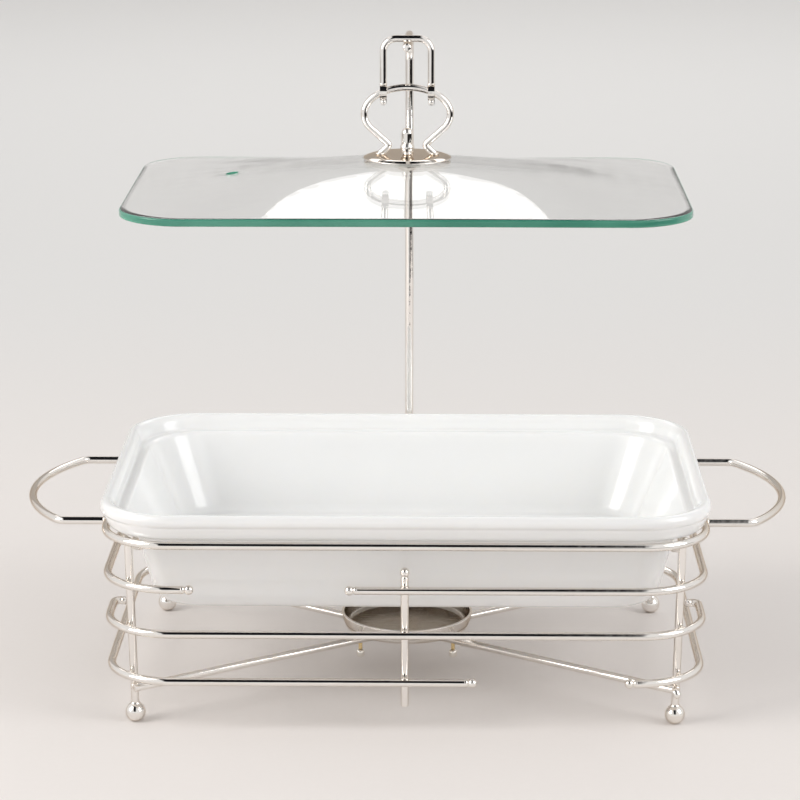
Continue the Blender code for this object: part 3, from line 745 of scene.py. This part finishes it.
# %% Socket
low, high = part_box("pole_socket")
pole_low, pole_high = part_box("pole")
POLE_Y = (low.y + high.y) / 2
SOCKET_R = (high.x - low.x) / 2
POLE_R = (pole_high.x - pole_low.x) / 2
bore = POLE_R + TOUCH
LIP, FLOOR = 0.0004, 0.0020                     # the swelling at the mouth, and the closed bottom
profile = [(0, low.z), (SOCKET_R - 0.0008, low.z), (SOCKET_R, low.z + 0.0008),
           (SOCKET_R, high.z - 0.0030), (SOCKET_R + LIP, high.z - 0.0026),
           (SOCKET_R + LIP, high.z - 0.0004), (SOCKET_R, high.z), (bore + 0.0002, high.z),
           (bore, high.z - 0.0004), (bore, low.z + FLOOR), (0, low.z + FLOOR)]
piece("socket", turn(profile, (CENTRE.x, POLE_Y, 0), sides=40), silver, "stand",
      ["pole_socket"], sharp=30)
print("socket is", round((high.z - low.z) * 1000, 1), "mm tall")

# %% Pole
RISE, POLE_BEND = radians(3.3), 0.020
hanger_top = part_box("hanger_wire")[1].z
LOOP = half_of("hanger_wire").y
arm_z = hanger_top - 2 * LOOP - TOUCH - POLE_R / cos(RISE)
sweep_angle = pi / 2 - RISE
rear_y = POLE_Y - CENTRE.y
corner_z = arm_z - rear_y * sin(RISE) / cos(RISE)
bend_z = corner_z - POLE_BEND * (1 - cos(sweep_angle)) / sin(sweep_angle)
tip_y = -0.0080
path = [from_centre(0, rear_y, pole_low.z)]
path += [from_centre(0, rear_y, pole_low.z + (bend_z - pole_low.z) * i / 12) for i in range(1, 13)]
for i in range(1, 25):
    t = sweep_angle * i / 24
    path.append(from_centre(0, rear_y - POLE_BEND + POLE_BEND * cos(t), bend_z + POLE_BEND * sin(t)))
path.append(from_centre(0, tip_y, arm_z - tip_y * sin(RISE) / cos(RISE)))
outward = (path[-1] - path[-2]).normalized()
radii = [POLE_R] * len(path)
TIP_ROUND = 0.0012
path[-1] = path[-1] - outward * TIP_ROUND
last = path[-1]
for a in (20, 40, 60, 75, 88):
    path.append(last + outward * TIP_ROUND * sin(radians(a)))
    radii.append(POLE_R - TIP_ROUND + TIP_ROUND * cos(radians(a)))
piece("pole_rod", sweep(path, radii, 28), silver, "pole", ["pole"])
print("pole bends at", round(bend_z * 1000, 1), "mm")

# %% [markdown]
# ## Porcelain dish
# One skin runs from the foot up the sloping wall, under the ledge, up the skirt, over the groove
# and the rounded bead, down to the inner ledge and on down to the floor. The profile is a row of
# straight runs whose corners are rounded by short curves, because fired clay has no sharp edge.

# %% A rounded rectangle
def rounded_rect(half_x, half_y, radius, steps=20, between=(14, 8)):
    """A rounded rectangle as one loop of flat points."""
    loop = []
    arcs = [arc((sx * (half_x - radius), sy * (half_y - radius)), radius, 90 * q, 90 * q + 90, steps)
            for q, (sx, sy) in enumerate(((1, 1), (-1, 1), (-1, -1), (1, -1)))]
    for q in range(4):
        first, last = Vector(arcs[q][-1]), Vector(arcs[(q + 1) % 4][0])
        count = between[q % 2]
        loop += arcs[q] + [tuple(first.lerp(last, (i + 1) / (count + 1))) for i in range(count)]
    return loop


print("a rounded rectangle has", len(rounded_rect(1, 1, 0.1)), "points")

# %% Dish
dish_low, dish_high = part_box("dish")
DISH_X, DISH_Y, DISH_CORNER = half_of("dish").x, half_of("dish").y, 0.045
dish_foot, dish_top = dish_low.z, dish_high.z
dish_floor, rim_low = dish_foot + 0.0075, TOP + WIRE + TOUCH
ledge = dish_top - 0.0100
# How far in from the rim's outline, the height, and how much that corner is rounded.
section = [(0.0460, dish_foot + 0.0012, 0), (0.0432, dish_foot + 0.0011, 0.0012),
           (0.0420, dish_foot, 0.0008), (0.0370, dish_foot, 0.0010),
           (0.0330, dish_foot + 0.0020, 0.0050), (0.0300, dish_foot + 0.0080, 0.0070),
           (0.0225, rim_low - 0.0130, 0.0100), (0.0176, rim_low - 0.0004, 0.0030),
           (0.0150, rim_low, 0.0016), (0.0050, rim_low, 0.0016), (0.0040, rim_low + 0.0014, 0.0014),
           (0.0020, dish_top - 0.0096, 0.0020), (0.0017, dish_top - 0.0080, 0.0012),
           (0.0004, dish_top - 0.0064, 0.0014), (0.0000, dish_top - 0.0034, 0.0022),
           (0.0018, dish_top, 0.0022), (0.0052, dish_top, 0.0022), (0.0080, dish_top - 0.0034, 0.0022),
           (0.0094, ledge, 0.0018), (0.0152, ledge - 0.0003, 0.0022), (0.0176, ledge - 0.0060, 0.0040),
           (0.0330, dish_floor + 0.0120, 0.0080), (0.0385, dish_floor, 0.0070),
           (0.0560, dish_floor, 0)]
profile = rounded(section)
CORNER_SHRINK = 0.45            # the corners stay generously round down to the foot


def dish_ring(inset, z):
    """The dish's outline at a height, moved in from its rim."""
    radius = DISH_CORNER - inset * CORNER_SHRINK
    return [from_centre(x, y, z) for x, y in rounded_rect(DISH_X - inset, DISH_Y - inset, radius)]


def shrunk(ring, share):
    return [from_centre((p.x - CENTRE.x) * share, (p.y - CENTRE.y) * share, p.z) for p in ring]


rings = [dish_ring(inset, z) for inset, z in profile]
for share in (0.80, 0.55, 0.28):
    rings.append(shrunk(rings[-1], share))
rings.insert(0, shrunk(rings[0], 0.5))
rings = [[from_centre(0, 0, dish_foot + 0.0012)]] + rings + [[from_centre(0, 0, dish_floor)]]
piece("porcelain_dish", skin(rings), porcelain, "dish", ["dish"], sharp=60)
print("dish profile has", len(profile), "points")

# %% [markdown]
# ## Glass lid
# A sheet of even thickness that was bent over a mould while hot: flat along its edge and slightly
# domed towards the middle. Its edge is ground round. The rings go out over the upper face, round
# the edge and back under the lower face, with a small hole in the middle for the screw.

# %% Glass lid
lid_low, lid_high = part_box("glass_lid")
LID_X, LID_Y, LID_CORNER = half_of("glass_lid").x, half_of("glass_lid").y, 0.040
GLASS, LID_RISE = 0.0046, 0.0188                # thickness, and how far the middle stands up
CROWN = 0.3                                     # share of the way out that is bent round
edge_z = lid_low.z


def fall(share):
    """From 0 in the middle to 1 at the edge: round at first, then almost straight."""
    return (hypot(1, share / CROWN) - 1) / (hypot(1, 1 / CROWN) - 1)


def dome(x, y):
    """How far the sheet stands above its edge."""
    return LID_RISE * (1 - fall(x / LID_X)) * (1 - fall(y / LID_Y))


def sheet_ring(inset, share, lift):
    """The lid's outline, shrunk to a share and lifted."""
    sizes = [share * (size - inset) for size in (LID_X, LID_Y, LID_CORNER)]
    flat = rounded_rect(*sizes, steps=18, between=(26, 16))
    return [from_centre(x, y, edge_z + lift + dome(x, y)) for x, y in flat]


def hole_ring(radius, lift):
    """A round ring with as many points as the outline."""
    outline = rounded_rect(LID_X, LID_Y, LID_CORNER, 18, (26, 16))
    flat = [Vector(p).normalized() * radius for p in outline]
    return [from_centre(x, y, edge_z + lift + dome(x, y)) for x, y in flat]


shares = [0.10, 0.20, 0.30, 0.40, 0.50, 0.60, 0.70, 0.78, 0.86, 0.92, 0.97]
above = [hole_ring(0.0035, GLASS), hole_ring(0.0060, GLASS)] + [sheet_ring(0, s, GLASS) for s in shares]
below = [[p - Vector((0, 0, GLASS)) for p in ring] for ring in above[::-1]]
grind = [(0.0009, GLASS), (0.0004, GLASS - 0.0002), (0.0001, GLASS - 0.0006), (0, GLASS - 0.0011),
         (0, 0.0011), (0.0001, 0.0006), (0.0004, 0.0002), (0.0009, 0)]
edge = [sheet_ring(inset, 1, lift) for inset, lift in grind]
lid_bm = skin(above + edge + below, ring_closed=True)
lid = piece("lid_glass", lid_bm, [glass, glass_edge], "lid", ["glass_lid"], sharp=40)
print("glass sheet has", len(lid.data.polygons), "faces")

# %% [markdown]
# ## Steam hole
# The hole is drilled through the finished sheet, so it is cut here with a Boolean too. The wall of
# the hole and the ground edge show the glass's green, so those faces get the second finish.

# %% Steam hole
VENT_X, VENT_R, PAST_GLASS = -0.112, 0.0040, 0.01
drill_low, drill_top = edge_z - PAST_GLASS, lid_high.z + PAST_GLASS
drill_bm = turn([(0, drill_low), (VENT_R, drill_low), (VENT_R, drill_top), (0, drill_top)],
                from_centre(VENT_X, 0, 0), sides=48)
drill_mesh = bpy.data.meshes.new("drill")
drill_bm.to_mesh(drill_mesh)
drill_bm.free()
drill = bpy.data.objects.new("drill", drill_mesh)
drill.data.materials.append(glass)
bpy.context.scene.collection.objects.link(drill)
hole = lid.modifiers.new("steam hole", "BOOLEAN")
hole.operation, hole.solver, hole.object = "DIFFERENCE", "EXACT", drill
depsgraph = bpy.context.evaluated_depsgraph_get()
drilled = bpy.data.meshes.new_from_object(lid.evaluated_get(depsgraph))
lid.modifiers.clear()
lid.data = drilled
bpy.data.objects.remove(drill)
drilled.shade_smooth()
drilled.set_sharp_from_angle(angle=radians(40))


def on_edge(face):
    """True for the ground edge and the wall of the steam hole."""
    x, y = face.center.x - CENTRE.x, face.center.y - CENTRE.y
    in_vent = hypot(x - VENT_X, y) < VENT_R * 1.01 and abs(face.normal.z) < 0.5
    return in_vent or (abs(face.normal.z) < 0.94 and hypot(x, y) > 0.05)


for face in drilled.polygons:
    face.material_index = 1 if on_edge(face) else 0
green = sum(face.material_index for face in drilled.polygons)
print("lid has", len(drilled.polygons), "faces,", green, "of them green")

# %% [markdown]
# ## Handle on the lid
# A plate spreads the load over the glass, a screw comes up through it from a soft washer, and a
# turned finial screws down on the plate. The loop of wire flares out, tapers to two sharp necks
# and stands on the plate on two splayed feet.

# %% Plate and washer
BORE_R = 0.0026                                 # hole for the screw


def ring_piece(name, profile, z, sides, surface, stands_for):
    """A turned ring of the lid, from a closed profile of (radius, height) pairs."""
    across, up = Vector((1, 0, 0)), Vector((0, 1, 0))
    rings = [circle_at(from_centre(0, 0, z + h), across, up, r, sides) for r, h in profile]
    return piece(name, skin(rings, ring_closed=True), surface, "lid", stands_for, sharp=50)


disc_low, disc_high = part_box("handle_disc")
disc_t, DISC_R = disc_high.z - disc_low.z, half_of("handle_disc").x
rim_t, slope = 0.0005, 0.0055
profile = [(BORE_R, 0), (DISC_R - 0.0006, 0)]
profile += arc((DISC_R - rim_t / 2, rim_t / 2), rim_t / 2, -70, 70, 6)
profile += [(DISC_R - 0.0003 - slope * i / 10, rim_t + (disc_t - rim_t) * sin(pi / 2 * i / 10))
            for i in range(11)]
profile += [(0.0120, disc_t), (BORE_R, disc_t)]
ring_piece("lid_plate", profile, disc_low.z, 96, silver, ["handle_disc"])
low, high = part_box("lid_gasket")
thick, wide = high.z - low.z, half_of("lid_gasket").x
profile = rounded([(BORE_R, thick / 2, 0), (BORE_R, 0, 0.0004), (wide, 0, 0.0005),
                   (wide, thick, 0.0005), (BORE_R, thick, 0.0004),
                   (BORE_R, thick / 2 + 0.0001, 0)], 4)
ring_piece("washer", profile, low.z, 48, gasket, ["lid_gasket"])
print("plate is", round(DISC_R * 2000, 1), "mm across")

# %% Screw and finial
low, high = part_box("handle_screw")
head = half_of("handle_screw").x
profile = rounded([(0, low.z, 0), (head - 0.0014, low.z, 0.0008), (head, low.z + 0.0012, 0.0008),
                   (head, low.z + 0.0024, 0.0002), (0.0022, low.z + 0.0024, 0.0001),
                   (0.0022, high.z, 0.0003), (0, high.z, 0)], 5)
piece("screw", turn(profile, from_centre(0, 0, 0), sides=40), silver, "lid",
      ["handle_screw"], sharp=35)
low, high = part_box("finial_nut")
profile = rounded([(0, low.z + 0.0001, 0), (0.0032, low.z + 0.0001, 0.0003),
                   (0.0030, low.z + 0.0010, 0.0003), (0.0043, low.z + 0.0024, 0.0010),
                   (0.0046, low.z + 0.0044, 0.0014), (0.0038, low.z + 0.0066, 0.0010),
                   (0.0032, low.z + 0.0070, 0.0003), (0.0037, low.z + 0.0074, 0.0003),
                   (0.0037, high.z - 0.0022, 0.0012), (0.0024, high.z, 0.0012), (0, high.z, 0)], 6)
piece("finial", turn(profile, from_centre(0, 0, 0), sides=48), silver, "lid",
      ["finial_nut"], sharp=50)
print("finial is", round((high.z - low.z) * 1000, 1), "mm tall")

# %% Handle loop
loop_x, loop_top = half_of("handle_loop").x - LOOP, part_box("handle_loop")[1].z - LOOP
WIDE_Z, NECK_X, NECK_Z, FOOT_X = 0.3700, 0.0112, 0.3500, 0.0172
BELLY_R = 0.0125                                # bend below the widest place
steps = [radians(90 * i / 40) for i in range(41)]
top_half = [(loop_x * cos(a), WIDE_Z + (loop_top - WIDE_Z) * sin(a)) for a in steps]
belly = arc((loop_x - BELLY_R, WIDE_Z), BELLY_R, -46, 0, 14)
side_half = rounded([(FOOT_X, disc_high.z + 0.0004, 0), (NECK_X, NECK_Z, 0.0022), (*belly[0], 0)], 10)
half = side_half + belly[1:] + top_half[1:]
loop_path = half + [(-x, z) for x, z in half[-2::-1]]
points = [from_centre(x, 0, z) for x, z in loop_path]
piece("loop", sweep(points, LOOP, WIRE_SIDES), silver, "lid", ["handle_loop"])
print("handle loop has", len(points), "points")

# %% [markdown]
# ## Hanger
# A bent wire with two legs lies over the pole's arm, and each leg ends in a strap.

# %% Hanger wire
hang_low, hang_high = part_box("hanger_wire")
hang_x, hang_z = half_of("hanger_wire").x - LOOP, hang_high.z - LOOP
HANG_BEND = 0.008
bend = arc((hang_x - HANG_BEND, hang_z - HANG_BEND), HANG_BEND, 0, 90, 16)
half = [(hang_x, hang_low.z - 0.0006)] + bend
hanger_path = half + [(-x, z) for x, z in half[::-1]]
points = [from_centre(x, 0, z) for x, z in hanger_path]
piece("hanger_rod", sweep(points, LOOP, WIRE_SIDES), silver, "hanger", ["hanger_wire"])
print("hanger is", round(hang_x * 2000, 1), "mm wide")

# %% [markdown]
# ## Straps and rivets
# A strap of thin sheet is folded round the handle loop, and its two loose ends are pressed together
# under it and closed by a rivet, so the lid swings in the straps. The strap is drawn as one folded
# outline, repeated across its width, with the ends of the sheet cut round.

# %% Fold of a strap, and a rivet
FOLD_R, SHEET, SLIT = 0.0045, 0.0008, 0.0004    # outer radius of the fold, sheet, half the slit
EDGE_SOFT = 0.00010                             # softening of the sheet's edges


def strap_outlines(low_z, swing_z):
    """The outer and the inner line of a folded strap, seen from the side."""
    waist, leaf = swing_z - FOLD_R, SLIT + SHEET
    outer = [(leaf, low_z), (leaf, waist - 0.0006)] + arc((0, swing_z), FOLD_R, -40, 220, 28)
    outer += [(-leaf, waist - 0.0006), (-leaf, low_z)]
    inner = [(-SLIT, low_z), (-SLIT, waist)] + arc((0, swing_z), FOLD_R - SHEET, 220, -40, 28)
    inner += [(SLIT, waist), (SLIT, low_z)]
    return outer, inner


def strap_mesh(x, half_width, low_z, swing_z):
    outer, inner = strap_outlines(low_z, swing_z)
    rows = []
    for share in (-1, -0.96, -0.80, -0.55, 0, 0.55, 0.80, 0.96, 1):
        shrink = EDGE_SOFT if abs(share) == 1 else 0
        rise = half_width * 0.75 * (1 - sqrt(1 - share ** 2))       # the loose ends are cut round
        row = []
        for group, sign in ((outer, -1), (inner, 1)):
            for y, z in group:
                away = Vector((y, z - swing_z)).normalized() * shrink * sign
                row.append(from_centre(x - CENTRE.x + share * half_width, y + away.x,
                                       max(z + away.y, low_z + rise)))
        rows.append(row)
    bm = skin(rows)
    bm.verts.ensure_lookup_table()
    count = len(rows[0])
    for start, flip in ((0, False), (count * (len(rows) - 1), True)):
        for i in range(len(outer) - 1):
            a, b = start + i, start + i + 1
            c, d = start + count - 2 - i, start + count - 1 - i
            corners = [bm.verts[k] for k in (a, b, c, d)]
            bm.faces.new(corners[::-1] if flip else corners)
    return bm


def rivet_mesh(spot, reach):
    """A short shank with a low round head on each side of the strap."""
    shank, seat = 0.0007, SLIT + SHEET + 0.0001
    crown = [(reach.x * cos(radians(a)), seat + (reach.y - seat) * sin(radians(a)))
             for a in (0, 18, 36, 54, 72)]
    profile = [(0, -reach.y)] + [(r, -y) for r, y in crown[::-1]]
    profile += [(shank, -seat), (shank, seat)] + crown + [(0, reach.y)]
    return turn(profile, spot, (0, 1, 0), 28)


print("a strap's fold is", round(FOLD_R * 2000, 1), "mm across")

# %% Straps and rivets
for side_name in ("left", "right"):
    lug, rivet = f"hanger_lug_{side_name}", f"lug_rivet_{side_name}"
    low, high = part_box(lug)
    bm = strap_mesh((low.x + high.x) / 2, (high.x - low.x) / 2, low.z, high.z - FOLD_R)
    piece(f"strap_{side_name}", bm, silver, "hanger", [lug], sharp=45)
    piece(f"rivet_{side_name}", rivet_mesh(middle_of(rivet), half_of(rivet)), silver, "hanger",
          [rivet], sharp=50)
print("straps are", round((high.x - low.x) * 1000, 1), "mm wide")

# %% [markdown]
# ## Brazed joints
# A small lump of filler sits wherever two wires touch. Each is a ball squeezed along the line that
# joins the two wires, roughened with noise so no two are alike.

# %% A lump of filler
LUMP_DETAIL, ROUGH_BY = 3, 0.10


def lump(bm, at, toward, across, thick, seed):
    """A rough squeezed ball added to a mesh."""
    made = bmesh.ops.create_icosphere(bm, subdivisions=LUMP_DETAIL, radius=1.0)["verts"]
    turn_to = Vector(toward).to_track_quat("Z", "Y").to_matrix()
    for vert in made:
        rough = 1 + ROUGH_BY * noise.noise(vert.co * 1.7 + Vector((seed * 3.1, seed, -seed)))
        local = Vector((vert.co.x * across, vert.co.y * across, vert.co.z * thick)) * rough
        vert.co = Vector(at) + turn_to @ local


print("a lump is rough by", ROUGH_BY, "of its size")

# %% Where the joints are
HALF_GAP, UNDER_PAN = TOUCH / 2, 0.034           # the second is how far out the pan rests
joints = {"front": [], "rear": [], "centre": []}
for (end, side), (foot, top) in legs.items():
    group = "front" if end < 0 else "rear"
    for z in (UPPER, MIDDLE, LOWER):
        leg = foot.lerp(top, (z - foot.z) / (top.z - foot.z))
        hub = from_centre(side * (ring_x(z) - BEND), end * (RING_Y - BEND), z)
        at = Vector((leg.x, leg.y, z))
        outward = (at - hub).normalized()
        joints[group].append((at + outward * (WIRE + HALF_GAP), outward, 0.0023, 0.0012))
    hub = from_centre(side * (RING_X - BEND), end * (RING_Y - BEND), TOP)
    at = Vector((top.x, top.y, TOP))
    outward = (at - hub).normalized()
    joints[group].append((at + outward * WIRE * 0.9, outward, 0.0027, 0.0022))
    arm_leg = foot.lerp(top, (ARM_Z - foot.z) / (top.z - foot.z))
    arm_end = from_centre(side * tip.x, end * tip.y, ARM_Z)
    outward = arm_end - arm_leg
    at = arm_leg + outward.normalized() * (WIRE + HALF_GAP)
    joints[group].append((at, outward, 0.0022, 0.0014))
for end, group in ((-1, "front"), (1, "rear")):
    for z in (UPPER, MIDDLE, LOWER):
        at = from_centre(0, end * (RING_Y - WIRE - HALF_GAP), z)
        joints[group].append((at, (0, 1, 0), 0.0023, 0.0011))
    for side in (-1, 1):
        at = from_centre(side * (RING_X + WIRE * 0.9), end * HANDLE_Y, TOP)
        joints[group].append((at, (1, 0, 0), 0.0031, 0.0016))
for z in (UPPER, MIDDLE, LOWER):
    joints["rear"].append((from_centre(0, RING_Y + WIRE + HALF_GAP, z), (0, 1, 0), 0.0030, 0.0015))
joints["centre"].append((from_centre(0, 0, ARM_Z), (0, 0, 1), 0.0042, 0.0022))
for side in (-1, 1):
    for end in (-1, 1):
        flat = Vector((side * cos(angle), end * sin(angle), 0)) * UNDER_PAN
        at = from_centre(flat.x, flat.y, ARM_Z + WIRE + HALF_GAP)
        joints["centre"].append((at, (0, 0, 1), 0.0026, 0.0010))
loop_feet = [(from_centre(side * FOOT_X, 0, disc_high.z + 0.0006), (0, 0, 1), 0.0030, 0.0011)
             for side in (-1, 1)]
hanger_legs = [(from_centre(side * hang_x, 0, hang_low.z + 0.0002), (0, 0, 1), 0.0024, 0.0012)
               for side in (-1, 1)]
print("joints on the stand:", sum(len(spots) for spots in joints.values()))

# %% Lumps of filler
def brazing(name, spots, body, first_seed):
    """One piece for a group of joints. The seed keeps each lump's shape the same every time."""
    bm = bmesh.new()
    for seed, (at, toward, across_r, thick_r) in enumerate(spots):
        lump(bm, at, toward, across_r, thick_r, seed + first_seed)
    piece(name, bm, braze, body)


for group, spots in joints.items():
    brazing(f"brazing_{group}", spots, "stand", 1)
brazing("brazing_loop", loop_feet, "lid", 40)
brazing("brazing_hanger", hanger_legs, "hanger", 50)
print("brazed joints:", {group: len(spots) for group, spots in joints.items()})

# %% [markdown]
# ## Floor, sweep and light
# The server stands on a pale sheet that runs far back and curves up into a wall. Two large soft
# boxes stand left and right, and a lamp above the sheet lights it behind the server. The room is
# pale with a dark part overhead, and one low in front, which draw the black line along every
# polished wire.

# %% Floor and sweep
def sweep_sheet():
    """The paper: flat from front to back, then a quarter bend, then a wall."""
    left, right, front_y, back_y, bend_r, height = -3.2, 1.15, -0.85, 4.8, 1.0, 3.2
    run = [(front_y, 0.0)] + [(y / 5, 0.0) for y in range(-4, 19)]
    for t in (radians(a) for a in range(0, 91, 6)):
        run.append((back_y - bend_r + bend_r * sin(t), bend_r - bend_r * cos(t)))
    run += [(back_y, bend_r + (height - bend_r) * i / 4) for i in range(1, 5)]
    bm = bmesh.new()
    columns = (left, left / 2, 0, right / 2, right)
    rows = [[bm.verts.new((x, y, z)) for x in columns] for y, z in run]
    for low_row, high_row in zip(rows, rows[1:]):
        for i in range(len(columns) - 1):
            bm.faces.new((low_row[i], low_row[i + 1], high_row[i + 1], high_row[i]))
    mesh = bpy.data.meshes.new("sweep")
    bm.to_mesh(mesh)
    bm.free()
    mesh.shade_smooth()
    made = bpy.data.objects.new("sweep", mesh)
    bpy.context.scene.collection.objects.link(made)
    return made


floor = sweep_sheet()
made, tree, shader = finish("pale paper", {"Roughness": 0.85, "Specular IOR Level": 0.2})
fibres = clouds(tree, place_of(tree), 0.004, 4)
# Painted light: the paper's colour goes from warm in front to a lighter grey towards the back, standing
# in for how the light falls along the sheet.
back = node(tree, "ShaderNodeSeparateXYZ", None, {0: place_of(tree)})["Y"]
paper = blend(tree, back.smooth(0.2, 1.3), (0.825, 0.785, 0.760), (0.815, 0.807, 0.797))
feed(tree, shader, Base_Color=blend(tree, fibres * 0.05, paper, (0.50, 0.46, 0.42)),
     Normal=bump(tree, fibres, 0.05, 0.0005))
floor.data.materials.append(made)
print("floor and sweep are ready")

# %% [markdown]
# ## Room
# The world gives most of the light, and is what the plated wires mirror. Masks made from the
# direction of a ray paint its dark parts. A ray straight from the camera sees one plain pale
# colour instead, so the dark parts show only as reflections.

# %% Room
PALE, DARK = (0.865, 0.855, 0.845), (0.012, 0.012, 0.014)
DARK_LOW, SEEN = (0.02, 0.018, 0.018), (0.72, 0.71, 0.70)
world = bpy.data.worlds.new("studio")
bpy.context.scene.world = world
world.use_nodes = True
tree = world.node_tree
direction = node(tree, "ShaderNodeTexCoord")["Generated"]
parts = node(tree, "ShaderNodeSeparateXYZ", None, {0: direction})
over = (parts["Z"] - parts["Y"] * 0.22).smooth(0.42, 0.50)
left_side = parts["X"].smooth(-0.34, -0.26)
right_side = 1 - parts["X"].smooth(0.05, 0.30)
below = (1 - parts["Z"].smooth(-0.06, 0.02)) * (1 - parts["Y"].smooth(-0.02, 0.16))
below = below * parts["X"].smooth(-0.03, 0.08)
dark = over * left_side * right_side
room = blend(tree, dark, PALE, DARK)
room = blend(tree, below, room, DARK_LOW)
seen = node(tree, "ShaderNodeLightPath")["Is Camera Ray"]
room = blend(tree, seen, room, SEEN)
background = tree.nodes["Background"]
tree.links.new(room.socket, background.inputs["Color"])
background.inputs["Strength"].default_value = 1.0
print("room has", len(tree.nodes), "nodes")

# %% Lamps
def soft_box(name, at, target, size, power, colour):
    """A rectangular lamp in watts, turned to its target."""
    light = bpy.data.lights.new(name, "AREA")
    light.shape, light.size, light.size_y = "RECTANGLE", size[0], size[1]
    light.energy, light.color = power, colour
    made = bpy.data.objects.new(name, light)
    bpy.context.scene.collection.objects.link(made)
    made.location = at
    made.rotation_euler = (Vector(target) - Vector(at)).to_track_quat("-Z", "Y").to_euler()


soft_box("left box", (-1.55, -0.75, 1.15), (0, 0, 0.15), (1.0, 1.4), 19, (1.0, 0.985, 0.965))
soft_box("back lamp", (0, 2.70, 2.10), (0, 2.70, 0), (2.8, 1.6), 17, (1.0, 1.0, 0.995))
soft_box("right box", (1.65, -0.75, 1.15), (0, 0, 0.15), (1.0, 1.4), 13, (0.985, 0.99, 1.0))
bpy.context.scene.view_settings.view_transform = "Standard"
print("light is ready")
